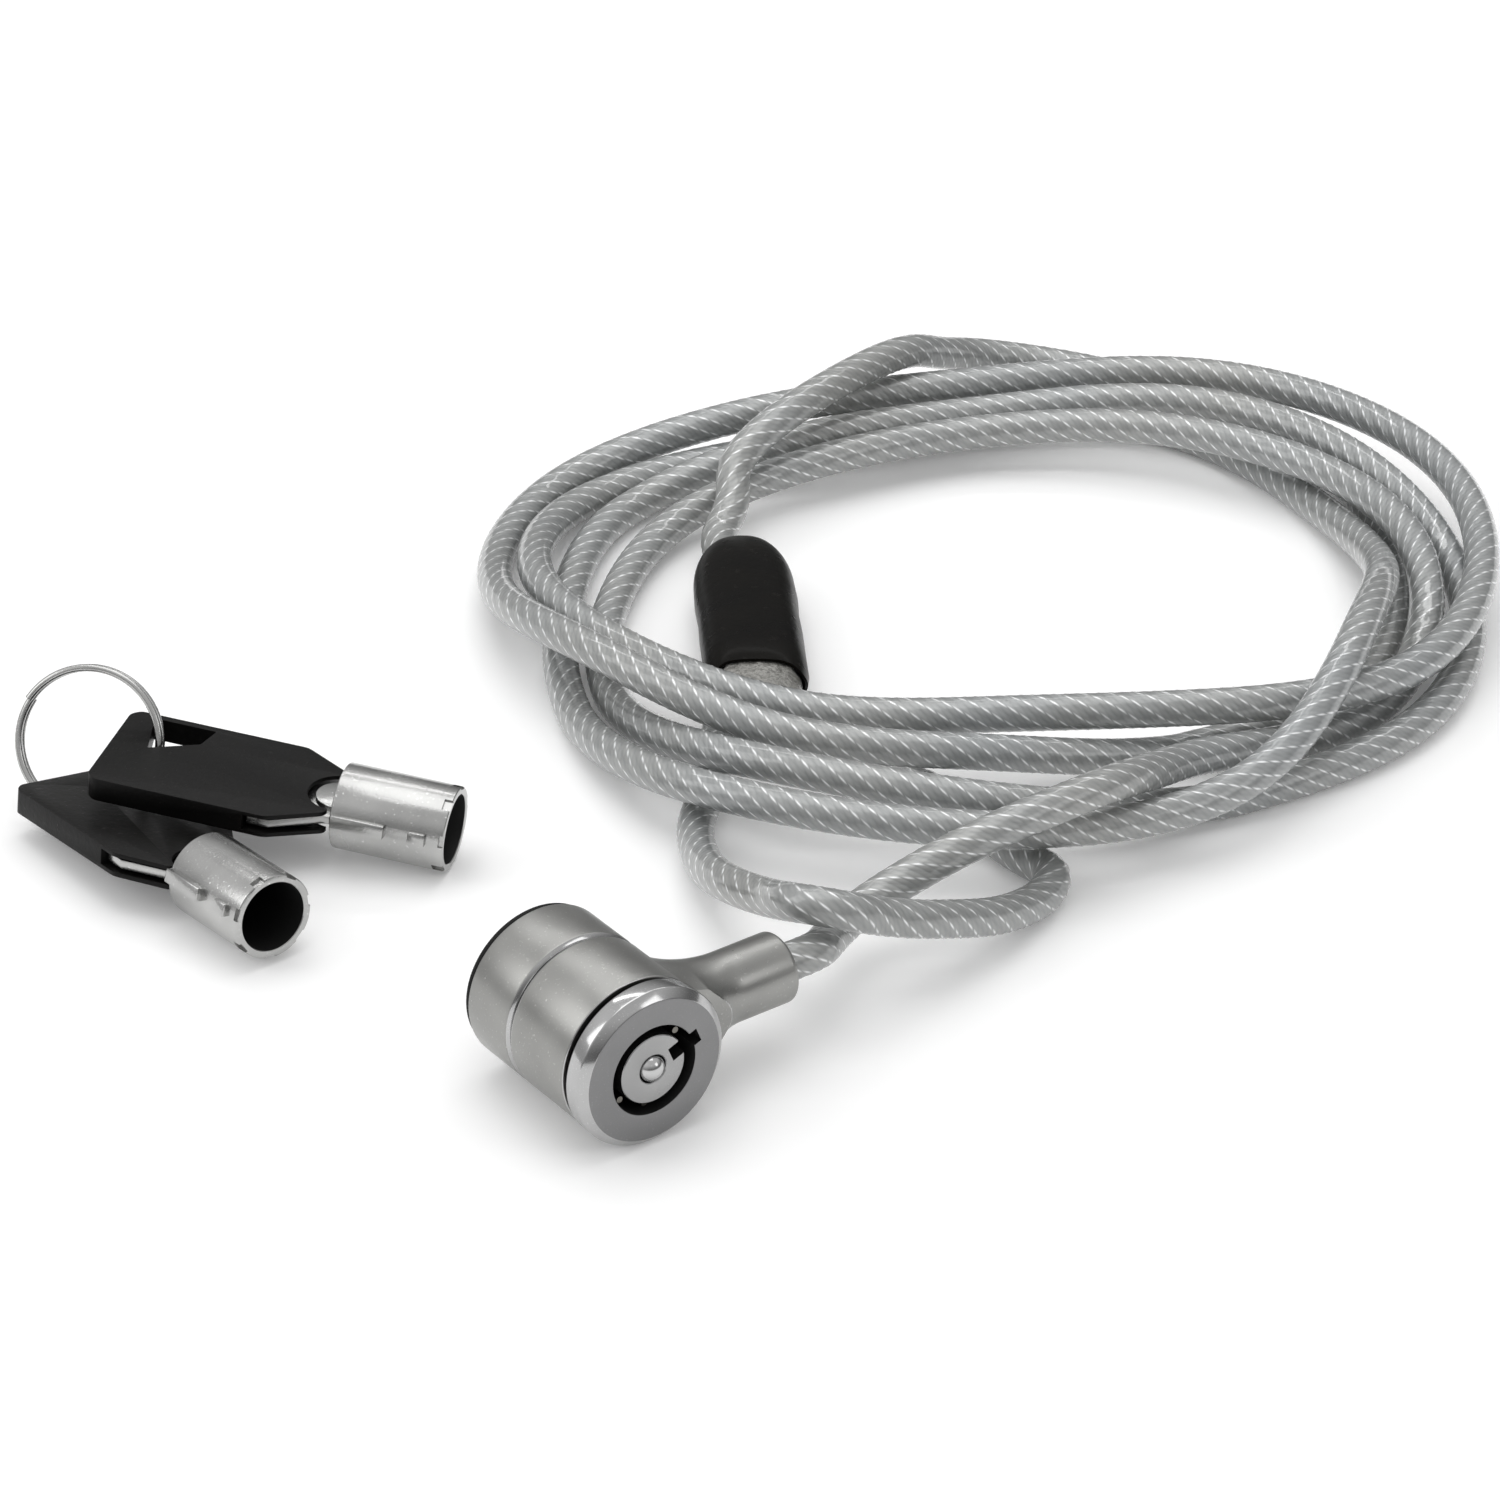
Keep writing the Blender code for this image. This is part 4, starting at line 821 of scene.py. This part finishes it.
@dataclass
class WireRope:
    """The coated cable: its long run from the lock's arm to the sleeve, and the eye beyond it."""

    radius: float = 2.0
    groove: float = 0.015
    strands: int = 7
    points_per_strand: int = 5
    lay: float = 19.0
    ring_step: float = 1.2
    coil_centre: Station = (26.0, 30.0)
    arm_reach: float = 20.5
    crimp_front: float = 14.9
    sleeve_top: float = 22.3
    leg_offset: float = 2.5
    tail_offset: float = 1.9

    def hour_point(self, hour: int) -> Vector:
        """Where the cable's centre is at an hour of the coil.

        Args:
            hour: counted on from the back of the first loop, twelve to a loop.

        Returns:
            The place in metres.
        """
        loop, clock = divmod(hour, 12)
        turn = math.pi / 2 - hour * math.radians(30)
        radius = LOOP_RADII[loop][clock]
        x = self.coil_centre[0] + radius * math.cos(turn)
        y = self.coil_centre[1] + radius * math.sin(turn)
        return Vector((x, y, LOOP_HEIGHTS[loop][clock])) * MM + SHIFT

    def section(self) -> np.ndarray:
        """The rope's cross-section: a round with one low crown for each strand.

        Returns:
            Its points in metres, one row each.
        """
        count = self.strands * self.points_per_strand
        rows = []
        for i in range(count):
            turn = 2 * math.pi * i / count
            share = (i % self.points_per_strand) / self.points_per_strand
            radius = (self.radius - self.groove * (1 - math.sin(math.pi * share) ** 0.7)) * MM
            rows.append((radius * math.cos(turn), radius * math.sin(turn)))
        return np.array(rows)

    def sleeve_place(self, along: float, across: float) -> Vector:
        """A place in the sleeve's middle plane.

        Args:
            along: mm along the sleeve, from its mouth's side.
            across: mm across it.

        Returns:
            The place in metres.
        """
        return SLEEVE_FRAME @ Vector((along * MM, across * MM, 0.0))

    def arm_place(self, along: float) -> Vector:
        """A place on the arm's axis.

        Args:
            along: mm from the barrel's axis.

        Returns:
            The place in metres.
        """
        return LOCK_FRAME @ Vector((along * MM, 0.0, 0.0))

    def main_path(self) -> np.ndarray:
        """The long run from the crimp in the arm, round the coil, to the swage in the sleeve.

        Returns:
            Its points in metres, one row each.
        """
        tail = [
            self.sleeve_place(-self.sleeve_top, -self.tail_offset),
            self.sleeve_place(-26.35, -self.tail_offset),
            self.sleeve_place(-33.0, -self.tail_offset),
        ]
        tail += [Vector(point) * MM + SHIFT for point in TAIL_POINTS]
        coil = [self.hour_point(hour) for hour in range(sum(len(loop) for loop in LOOP_RADII))]
        lead = [Vector(point) * MM + SHIFT for point in LEAD_POINTS]
        lead += [self.arm_place(self.arm_reach + 4.0), self.arm_place(self.arm_reach)]
        lead += [self.arm_place(self.crimp_front)]
        line = SmoothLine([tuple(point) for point in tail + coil + lead], self.radius * MM)
        return line.sampled(self.ring_step * MM)[::-1]

    def eye_path(self) -> np.ndarray:
        """The eye: out of the sleeve on one side, round, and back in on the other.

        Returns:
            Its points in metres, one row each.
        """
        out = [self.sleeve_place(-0.7, -self.leg_offset), self.sleeve_place(3.3, -self.leg_offset)]
        back = [self.sleeve_place(3.3, self.leg_offset), self.sleeve_place(-0.7, self.leg_offset)]
        loop = [Vector(point) * MM + SHIFT for point in EYE_POINTS]
        line = SmoothLine([tuple(point) for point in out + loop + back], self.radius * MM)
        return line.sampled(self.ring_step * MM)

    def build(self, sleeve: bpy.types.Object) -> None:
        """Args:
            sleeve: the dipped sleeve, which is on the cable's end. It is not used.
        """
        twist = 2 * math.pi / (self.lay * MM)
        runs = (
            ("cable", self.main_path(), ("cable_lead", "cable_coil", "cable_tail"), "coiled"),
            ("eye", self.eye_path(), ("eye_loop",), "loose"),
        )
        made = {}
        for name, path, nodes, lay in runs:
            rope = swept(f"{name}_rope", path, self.section(), twist)
            smooth(rope, 60.0)
            dress(rope, Matrix(), Body.COLLAR, nodes, [ROPE.material()])
            length = float(np.linalg.norm(np.diff(path, axis=0), axis=1).sum())
            made[name] = (rope, path, length, lay)
            LOG.info("%s is %.3f m long", rope.name, length)
        exits = {"cable": self.arm_place(self.arm_reach), "eye": Vector(made["eye"][1][0])}
        for name, exit_point in exits.items():
            rope, path, length, lay = made[name]


@dataclass
class DippedSleeve:
    """The glossy black cover over the joint of the eye, domed where the cable comes in."""

    length: float = 30.2
    shift: float = 2.2
    width: float = 11.4
    height: float = 7.9
    wall: float = 0.8
    dome: float = 9.0
    around: int = 96

    def ring(self, x: float, width: float, height: float, wave: float = 0.0) -> list[Vector]:
        """An oval across the sleeve, whose edge can wave along it.

        Args:
            x: where it lies along the sleeve, in mm.
            width: its width in mm.
            height: its height in mm.
            wave: how far its edge waves, in mm.

        Returns:
            Its points in metres.
        """
        radius = height / 2
        shift = max(width / 2 - radius, 0.0)
        rows = []
        for i in range(self.around):
            turn = 2 * math.pi * i / self.around
            ease = math.tanh(4 * math.cos(turn))
            y = shift * ease + radius * math.cos(turn)
            ripple = wave * (0.6 * math.sin(2 * turn + 0.6) + 0.4 * math.sin(3 * turn))
            rows.append(Vector((x + ripple, y, radius * math.sin(turn))) * MM)
        return rows

    def build(self) -> bpy.types.Object:
        """Makes the sleeve and lays it over the cable's end.

        Returns:
            The sleeve.
        """
        outer = []
        for i in range(1, 15):
            turn = math.pi / 2 * i / 14
            share = math.sin(turn)
            wide = self.width * (0.34 + 0.66 * share)
            tall = self.height * (0.5 + 0.5 * share)
            outer.append(self.ring(-self.length + self.dome * (1 - math.cos(turn)), wide, tall))
        for x, swell, drop in ((-18.0, 0.2, 0.0), (-14.0, -0.1, 0.0), (-10.0, 0.1, 0.1), (-5.0, 0.0, 0.4)):
            outer.append(self.ring(x, self.width + swell, self.height - drop))
        outer.append(self.ring(-1.2, self.width, self.height - 1.0, 0.5))
        outer.append(self.ring(0.2, self.width - 0.5, self.height - 1.7, 0.9))
        inner = [self.ring(0.2, self.width - 1.1, self.height - 2.3, 0.9)]
        inner.append(self.ring(-1.2, self.width - 2 * self.wall, self.height - 2.3, 0.5))
        inner.append(self.ring(-20.0, self.width - 2 * self.wall, self.height - 2 * self.wall))
        piece = lofted("sleeve_dip", outer + inner)
        piece.data.transform(Matrix.Translation((self.shift * MM, 0.0, 0.0)))
        smooth(piece, 50.0)
        self.build_cuff()
        return dress(piece, SLEEVE_FRAME, Body.COLLAR, ("sleeve_cover",), [DIP.material()])

    def build_cuff(self) -> None:
        """The crumpled film that the two legs of the eye come out of."""
        rings = []
        for x, wide, tall, wave in (
            (-1.5, 9.4, 5.4, 0.2), (1.0, 9.7, 5.3, 0.3), (2.6, 9.6, 5.1, 0.4), (4.2, 9.5, 4.8, 0.6),
            (6.8, 9.5, 4.5, 1.2), (6.9, 9.2, 4.1, 1.2), (3.6, 9.1, 4.1, 0.4), (-1.2, 8.9, 4.7, 0.2),
        ):
            rings.append(self.ring(x, wide, tall, wave))
        piece = lofted("sleeve_film", rings)
        for vertex in piece.data.vertices:
            x, y, z = vertex.co / MM
            fold = math.sin(1.9 * x + 2.3 * y) * math.sin(1.3 * y - 0.8 * x + 0.5)
            vertex.co.z += 0.16 * MM * fold * (1 if z > 0 else 0)
        smooth(piece, 50.0)
        dress(piece, SLEEVE_FRAME, Body.COLLAR, (), [FILM.material()])


# ---- Lock head -----------------------------------------------------------------------------------
@dataclass
class LockHead:
    """The turned head: collar with its arm, rear guard, face plate with its key slot, and core."""

    collar_radius: float = 8.35
    collar_front: float = 4.4
    collar_rear: float = -4.8
    bore: float = 7.15
    guard_rear: float = -11.7
    plate_radius: float = 8.5
    plate_rear: float = 5.2
    face: float = 7.8
    chamfer_width: float = 0.9
    chamfer_height: float = 0.8
    keyway: float = 4.8
    shoulder: float = 1.6
    post: float = 3.7
    notch_width: float = 1.65
    notch_angle: float = 22.0
    arm_reach: float = 20.5
    arm_radius: float = 3.7
    arm_straight: float = 6.3
    arm_edge: float = 0.6
    arm_sink: float = 0.1
    web_radius: float = 5.2

    def arm(self) -> bpy.types.Object:
        """The arm along X: a round stub that widens in a hollow, tangent to the collar, on its way in.

        Returns:
            The arm, in metres and in the head's own frame.
        """
        flare_end = self.arm_reach - self.arm_straight
        meets = self.collar_radius - self.arm_sink
        hollow = (flare_end**2 + self.arm_radius**2 - meets**2) / (2 * (meets - self.arm_radius))
        last = math.atan2(flare_end, self.arm_radius + hollow)
        sizes = []
        for i in range(7):
            turn = math.pi / 2 * i / 6
            mouth = self.arm_radius - self.arm_edge * (1 - math.sin(turn))
            sizes.append((self.arm_reach - self.arm_edge * (1 - math.cos(turn)), mouth, mouth))
        for i in range(49):
            turn = last * i / 48
            back = hollow * math.sin(turn)
            share = min(back / self.web_radius, 1.0)
            tall = self.arm_radius + hollow * (1 - math.cos(turn))
            wide = self.arm_radius + self.web_radius * (1 - math.sqrt(1 - share**2))
            sizes.append((flare_end - back, tall, wide))
        rings = []
        for x, tall, wide in sizes:
            turns = [2 * math.pi * k / 96 for k in range(96)]
            ring = [
                (tall * math.cos(turn), (wide if turn < math.pi else tall) * math.sin(turn))
                for turn in turns
            ]
            rings.append([Vector((x, y, z)) * MM for y, z in ring])
        return lofted("arm_flare", rings)

    def build_collar(self) -> None:
        """The casting round the barrel, with the arm that the cable comes out of."""
        corners = [
            (self.bore, self.collar_front), (self.collar_radius, self.collar_front),
            (self.collar_radius, self.collar_rear + 0.45), (self.collar_radius - 0.4, self.collar_rear),
            (self.bore, self.collar_rear),
        ]
        piece = turned("collar_casting", softened(corners, 0.2), 144)
        flare = self.arm()
        wide = 30.0
        slab = block("arm_slab", (0.0, -wide, self.collar_rear), (wide, wide, self.collar_front))
        boolean(flare, slab, "INTERSECT")
        bore = turned("collar_bore", [(self.bore + 0.02, -9.0), (self.bore + 0.02, 9.0)], 144, closed=False)
        boolean(flare, bore)
        boolean(piece, flare, "UNION")
        mouth = turned("arm_mouth", [(2.3, 12.0), (2.3, 19.9), (2.9, 20.6), (2.9, 22.0)], 48, closed=False)
        mouth.data.transform(Matrix.Rotation(math.pi / 2, 4, "Y"))
        boolean(piece, mouth)
        bevelled(piece, 0.14, 2, 40.0)
        for face in piece.data.polygons:
            x, y, z = face.center / MM
            out = math.hypot(x, y)
            rear_rim = z < self.collar_rear + 0.5 and out > self.collar_radius - 0.5
            front_rim = z > self.collar_front - 0.1 and out > self.collar_radius - 0.14
            mouth_rim = x > self.arm_reach - 0.12
            if (rear_rim or front_rim or mouth_rim) and abs(face.normal.z) < 0.98:
                face.material_index = 1
        smooth(piece, 35.0)
        materials = [CAST.material(), POLISHED.material()]
        dress(piece, LOCK_FRAME, Body.COLLAR, ("arm_collar",), materials)

    def build_guard(self) -> None:
        """The rear cup and the black ring on its edge."""
        front = self.collar_rear - 0.12
        corners = [
            (1.5, self.guard_rear + 2.0), (self.bore, self.guard_rear + 2.0), (self.bore, front),
            (self.collar_radius - 0.42, front), (self.collar_radius, front - 0.34),
            (self.collar_radius, self.guard_rear), (1.5, self.guard_rear),
        ]
        cup = turned("guard_cup", softened(corners, 0.14), 144)
        for side in (-1, 1):
            hole = turned("stud_hole", [(1.1, -14.0), (1.1, -9.0)], 32, closed=False)
            hole.data.transform(Matrix.Translation((side * 2.5 * MM, 0, 0)))
            boolean(cup, hole)
        for face in cup.data.polygons:
            x, y, z = face.center / MM
            if z > front - 0.34 and math.hypot(x, y) > self.collar_radius - 0.5:
                face.material_index = 1
        smooth(cup, 35.0)
        materials = [CAST.material(), POLISHED.material()]
        dress(cup, LOCK_FRAME, Body.BARREL, ("rear_guard",), materials)
        ring = [(5.8, -11.85), (8.1, -11.85), (8.1, -12.6), (5.8, -12.6)]
        seal = turned("guard_seal", softened(ring, 0.3), 128)
        smooth(seal, 35.0)
        dress(seal, LOCK_FRAME, Body.BARREL, ("rear_gasket",), [RUBBER.material()])

    def notch(self, inner: float, outer: float, low: float, high: float) -> bpy.types.Object:
        """A cutter for one of the key's index notches.

        Args:
            inner: where it starts from the axis, in mm.
            outer: where it ends, in mm.
            low: its lower end, in mm.
            high: its upper end, in mm.

        Returns:
            The cutter.
        """
        half = self.notch_width / 2
        made = block("index_notch", (inner, -half, low), (outer, half, high))
        made.data.transform(Matrix.Rotation(math.radians(self.notch_angle), 4, "Z"))
        return made

    def build_face(self) -> None:
        """The face plate with its polished edge, its key slot and the barrel behind it."""
        plate = self.plate_radius
        flat = plate - self.chamfer_width
        edge = self.face - self.chamfer_height
        corners = [
            (self.keyway, self.face), (flat, self.face), (plate, edge), (plate, self.plate_rear),
            (6.85, self.plate_rear), (6.85, -9.4), (6.1, -9.4), (6.1, self.shoulder),
            (self.keyway, self.shoulder),
        ]
        piece = turned("face_plate", softened(corners, 0.12), 144)
        boolean(piece, self.notch(self.keyway - 0.6, self.keyway + 0.8, 0.4, 9.0))
        for face in piece.data.polygons:
            middle = face.center / MM
            out = math.hypot(middle.x, middle.y)
            if middle.z > self.plate_rear + 0.1 and out > flat + 0.05:
                face.material_index = 1
            elif middle.z < self.face - 0.06 and out < 6.5:
                # Painted shade: faces below the face and inside the slot take the near-black bore shade.
                face.material_index = 2
        smooth(piece, 30.0)
        materials = [FACE.material(), POLISHED.material(), BORE_SHADE.material()]
        dress(piece, LOCK_FRAME, Body.BARREL, ("lock_case",), materials)

    def build_core(self) -> None:
        """The post in the key slot, with its notch and its ball."""
        top = self.face - 0.2
        corners = [
            (1.5, top - 2.7), (1.5, top), (self.post, top), (self.post, 1.3), (5.8, 1.3), (5.8, -5.1),
            (2.2, -5.1), (2.2, -8.0), (1.4, -8.0), (1.4, top - 2.7),
        ]
        piece = turned("core_post", softened(corners, 0.25), 96)
        boolean(piece, self.notch(self.post - 1.5, self.post + 0.8, 1.7, 9.0))
        for face in piece.data.polygons:
            middle = face.center / MM
            if middle.z < top - 1.2:
                # Painted shade: the post's lower part, down in the slot, takes the near-black bore shade.
                face.material_index = 1
        smooth(piece, 30.0)
        materials = [POST.material(), BORE_SHADE.material()]
        dress(piece, LOCK_FRAME, Body.CORE, ("key_post",), materials)
        rings = []
        for i in range(1, 24):
            turn = math.pi * i / 24
            rings.append((1.46 * math.sin(turn), top - 0.66 + 1.46 * math.cos(turn)))
        ball = turned("core_ball", rings, 48, closed=False)
        smooth(ball, 60.0)
        dress(ball, LOCK_FRAME, Body.CORE, ("centre_ball",), [BALL.material()])

    def build(self) -> None:
        """Makes every piece of the head that shows."""
        self.build_collar()
        self.build_guard()
        self.build_face()
        self.build_core()


# ---- Keys ----------------------------------------------------------------------------------------
@dataclass
class TubularKey:
    """A chrome tube on a flat blade, in a black moulded head with a slot for the ring."""

    letter: str
    place: Matrix
    body: Body
    tube_radius: float = 4.55
    bore_radius: float = 3.7
    tube_length: float = KEY_TUBE
    head_length: float = 25.2
    head_width: float = 14.4
    head_thickness: float = 2.6
    taper: float = 5.6
    neck: float = 8.0
    rib_angle: float = 79.0
    cut_depths: tuple[float, ...] = (0.9, 0.5, 1.2, 0.7, 1.3, 0.6, 1.0)
    slot: tuple[Station, ...] = ((2.7, 6.4), (9.6, 6.4), (8.9, 3.4), (4.0, 0.65))

    def build_tube(self) -> None:
        """The tube with its tip cuts, rib and lug."""
        length = self.tube_length
        corners = [
            (0.3, -length + 1.2), (self.bore_radius, -length + 1.2), (self.bore_radius, 0.0),
            (self.tube_radius, 0.0), (self.tube_radius, -length), (0.3, -length),
        ]
        profile = softened(corners, 0.22)
        piece = turned(f"key_{self.letter}_barrel", profile, 96)
        piece.data.transform(Matrix.Rotation(math.pi / 2, 4, "Y"))
        wall = (self.tube_radius + self.bore_radius) / 2
        for start, size in ((-length + 0.25, (5.8, 1.5, 0.8)), (-3.75, (1.9, 1.4, 0.5))):
            low = (start, -size[1] / 2, wall)
            high = (start + size[0], size[1] / 2, self.tube_radius + size[2])
            bar = block("key_bar", low, high)
            bevelled(bar, 0.2, 2)
            bar.data.transform(Matrix.Rotation(math.radians(self.rib_angle), 4, "X"))
            boolean(piece, bar, "UNION")
        for number, depth in enumerate(self.cut_depths):
            bite = block("tip_cut", (-depth, -0.65, 4.25), (1.0, 0.65, 6.0))
            turn = 2 * math.pi * (number + 0.5) / len(self.cut_depths)
            bite.data.transform(Matrix.Rotation(turn, 4, "X"))
            boolean(piece, bite)
        for face in piece.data.polygons:
            middle = face.center / MM
            if math.hypot(middle.y, middle.z) < self.bore_radius + 0.05 and middle.x > -length + 0.6:
                # Painted shade: the tube's bore takes the near-black bore shade.
                face.material_index = 1
        smooth(piece, 30.0)
        materials = [KEY_CHROME.material(), BORE_SHADE.material()]
        dress(piece, self.place, self.body, (f"key_{self.letter}_tube",), materials)

    def build_head(self) -> None:
        """The head, split at its front for the blade, with rounded edges."""
        front = -self.tube_length - 0.6
        rear = front - self.head_length
        side, neck = self.head_width / 2, self.neck / 2
        upper = [(front, neck), (front - self.taper, side), (rear + 0.9, side), (rear, side - 0.9)]
        outline = softened(upper + [(x, -y) for x, y in reversed(upper)], 0.5, 4)
        hole = softened([(rear + x, y) for x, y in self.slot], 0.2, 3)
        piece = outline_plate(f"key_{self.letter}_grip", [outline, hole], self.head_thickness)
        face_front = -self.tube_length - 0.3
        half = 0.85
        pocket = block("blade_pocket", (face_front - 8.3, -9.0, -half), (face_front + 1.0, 9.0, half))
        boolean(piece, pocket)
        notch = turned("blade_notch", [(3.4, -3.0), (3.4, 3.0)], 64, closed=False)
        notch.data.transform(Matrix.Translation((face_front * MM, 0, 0)))
        boolean(piece, notch)
        bevelled(piece, 0.36, 3, 40.0)
        smooth(piece, 35.0)
        nodes = (f"key_{self.letter}_head",)
        dress(piece, self.place, self.body, nodes, [PLASTIC.material()])

    def build_blade(self) -> None:
        """The blade with its half-round boss in the head's notch."""
        front = -self.tube_length - 0.3
        neck, side = 3.5, 6.5
        upper = [(front, neck), (front - 0.6, neck), (front - self.taper, side), (front - 8.0, side)]
        outline = upper + [(x, -y) for x, y in reversed(upper)]
        piece = outline_plate(f"key_{self.letter}_shank", [outline], 0.9)
        turns = [math.pi / 2 + math.pi * i / 24 for i in range(25)]
        half = [(front + 2.5 * math.cos(turn), 2.5 * math.sin(turn)) for turn in turns]
        boss = outline_plate("blade_boss", [half], 2.2)
        boolean(piece, boss, "UNION")
        bevelled(piece, 0.12, 2, 40.0)
        smooth(piece, 35.0)
        nodes = (f"key_{self.letter}_blade",)
        dress(piece, self.place, self.body, nodes, [KEY_CHROME.material()])

    def build(self) -> None:
        """Makes the whole key."""
        self.build_tube()
        self.build_head()
        self.build_blade()


@dataclass
class SplitRing:
    """Two turns of thin wire that both keys hang on."""

    wire: float = 0.4
    radius: float = 7.72
    turns: int = 2
    pitch: float = 0.95
    lean: float = 28.2
    yaw: float = -10.5
    start: float = 150.0
    place: Station = (-69.7, -11.05)
    steps: int = 72

    def build(self) -> None:
        """Winds the ring and lays it through the keys' slots."""
        lean = math.radians(self.lean)
        height = self.radius * math.cos(lean) + self.wire + self.pitch * math.sin(lean)
        place = laid((*self.place, height), (90.0 - self.lean, 0.0, self.yaw))
        rows = []
        for i in range(self.steps * self.turns + 1):
            turn = math.radians(self.start) + 2 * math.pi * i / self.steps
            rise = self.pitch * (i / self.steps - self.turns / 2)
            point = Vector((self.radius * math.cos(turn), self.radius * math.sin(turn), rise))
            rows.append(place @ (point * MM))
        turns = [2 * math.pi * i / 16 for i in range(16)]
        section = np.array([(math.cos(turn), math.sin(turn)) for turn in turns]) * self.wire * MM
        piece = swept("ring_wire", np.array([tuple(row) for row in rows]), section)
        smooth(piece, 50.0)
        dress(piece, Matrix(), Body.RING, ("key_ring",), [KEY_CHROME.material()])


def dress_small_nodes() -> None:
    """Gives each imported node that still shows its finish."""
    finishes = {
        # The pins take the darkened steel, a painted shade.
        "pin_steel": PIN_SHADE_STEEL,
        "gasket_rubber": RUBBER,
        "swage_aluminium": ALUMINIUM,
        "satin_nickel": CAST,
    }
    slots = {entry["node"]: entry["material_slot"] for entry in frame["record"]["subparts"]}
    for name in frame["nodes"]:
        finish = finishes.get(slots.get(name, ""))
        node = bpy.data.objects.get(name)
        if finish and node:
            node.data.materials.clear()
            node.data.materials.append(finish.material())


# ---- Studio --------------------------------------------------------------------------------------
@dataclass
class Studio:
    """A white table under soft light, and the camera where the photograph was taken from."""

    camera_place: Point = (0.0, -502.5, 296.0)
    camera_tilt: float = 59.5
    lens: float = 129.6
    floor_size: float = 6.0
    floor_drop: float = 0.02
    lamps: tuple[tuple[str, Point, Station, float], ...] = (
        ("overhead", (0.02, 0.10, 0.62), (0.5, 0.5), 1.15),
        ("left", (-0.55, -0.05, 0.4), (0.35, 0.35), 0.62),
        ("right", (0.6, -0.25, 0.35), (0.25, 0.25), 0.3),
        ("strip", (0.04, 0.5, 0.55), (0.8, 0.05), 0.55),
    )
    sky: float = 0.5
    horizon: float = 0.2

    def build_floor(self) -> None:
        """The table, which takes the shadows and is otherwise white."""
        deselect()
        bpy.ops.mesh.primitive_plane_add(size=self.floor_size, location=(0, 0, -self.floor_drop * MM))
        floor = bpy.context.active_object
        floor.name = "studio_floor"
        bpy.ops.object.transform_apply(location=True, rotation=True, scale=True)
        nodes, shader = start_material("studio_white")
        shader.inputs["Base Color"].default_value = (0.93, 0.93, 0.93, 1.0)
        shader.inputs["Roughness"].default_value = 0.9
        shader.inputs["Specular IOR Level"].default_value = 0.1
        path = nodes.add("ShaderNodeLightPath")
        seen = nodes.math("MAXIMUM", path.outputs["Is Camera Ray"], path.outputs["Is Glossy Ray"])
        nodes.join(nodes.math("MULTIPLY", seen, 0.12), shader.inputs["Emission Strength"])
        shader.inputs["Emission Color"].default_value = (1, 1, 1, 1)
        floor.data.materials.append(bpy.data.materials["studio_white"])

    def build_world(self) -> None:
        """An even grey light from all round, white where the camera sees it."""
        world = bpy.data.worlds.new("studio")
        bpy.context.scene.world = world
        world.use_nodes = True
        nodes = Nodes(world.node_tree)
        back = world.node_tree.nodes["Background"]
        back.inputs["Color"].default_value = (1, 1, 1, 1)
        path = nodes.add("ShaderNodeLightPath")
        aim = nodes.add("ShaderNodeTexCoord").outputs["Generated"]
        parts = nodes.add("ShaderNodeSeparateXYZ")
        nodes.join(aim, parts.inputs[0])
        rise = nodes.math("SUBTRACT", nodes.math("MULTIPLY", parts.outputs[2], 2.2), 0.35, clamp=True)
        side = nodes.math("MULTIPLY", nodes.math("SUBTRACT", 0.0, parts.outputs[0]), 0.35, clamp=True)
        sky = nodes.math("ADD", nodes.math("MULTIPLY", rise, self.sky), nodes.math("ADD", side, self.horizon))
        seen = path.outputs["Is Camera Ray"]
        shown = nodes.math("ADD", nodes.math("MULTIPLY", nodes.math("SUBTRACT", 1.0, seen), sky), seen)
        nodes.join(shown, back.inputs["Strength"])

    def build_lamps(self) -> None:
        """The soft lamps, each turned to the middle of the table."""
        for name, place, size, power in self.lamps:
            light = bpy.data.lights.new(name, "AREA")
            light.shape = "RECTANGLE"
            light.size, light.size_y = size
            light.energy = power
            lamp = bpy.data.objects.new(name, light)
            bpy.context.scene.collection.objects.link(lamp)
            lamp.location = Vector(place)
            aim = Vector((0.03, 0.04, 0.0)) - lamp.location
            lamp.rotation_euler = aim.to_track_quat("-Z", "Y").to_euler()

    def build_camera(self) -> None:
        """The camera."""
        data = bpy.data.cameras.new("photo_view")
        data.lens = self.lens
        data.sensor_width = 36.0
        data.clip_start = 0.01
        camera = bpy.data.objects.new("photo_view", data)
        bpy.context.scene.collection.objects.link(camera)
        camera.location = Vector(self.camera_place) * MM + SHIFT
        camera.rotation_euler = (math.radians(self.camera_tilt), 0.0, 0.0)
        bpy.context.scene.camera = camera

    def build(self) -> None:
        """Sets up the whole studio."""
        bpy.context.scene.view_settings.view_transform = "Standard"
        self.build_floor()
        self.build_world()
        self.build_lamps()
        self.build_camera()


def main() -> None:
    """Builds every piece."""
    logging.basicConfig(level=logging.INFO, format="%(name)s: %(message)s")
    Studio().build()
    dress_small_nodes()
    sleeve = DippedSleeve().build()
    WireRope().build(sleeve)
    LockHead().build()
    TubularKey("a", KEY_A_FRAME, Body.KEY_A).build()
    TubularKey("b", KEY_B_FRAME, Body.KEY_B).build()
    SplitRing().build()


if __name__ == "__main__":
    main()
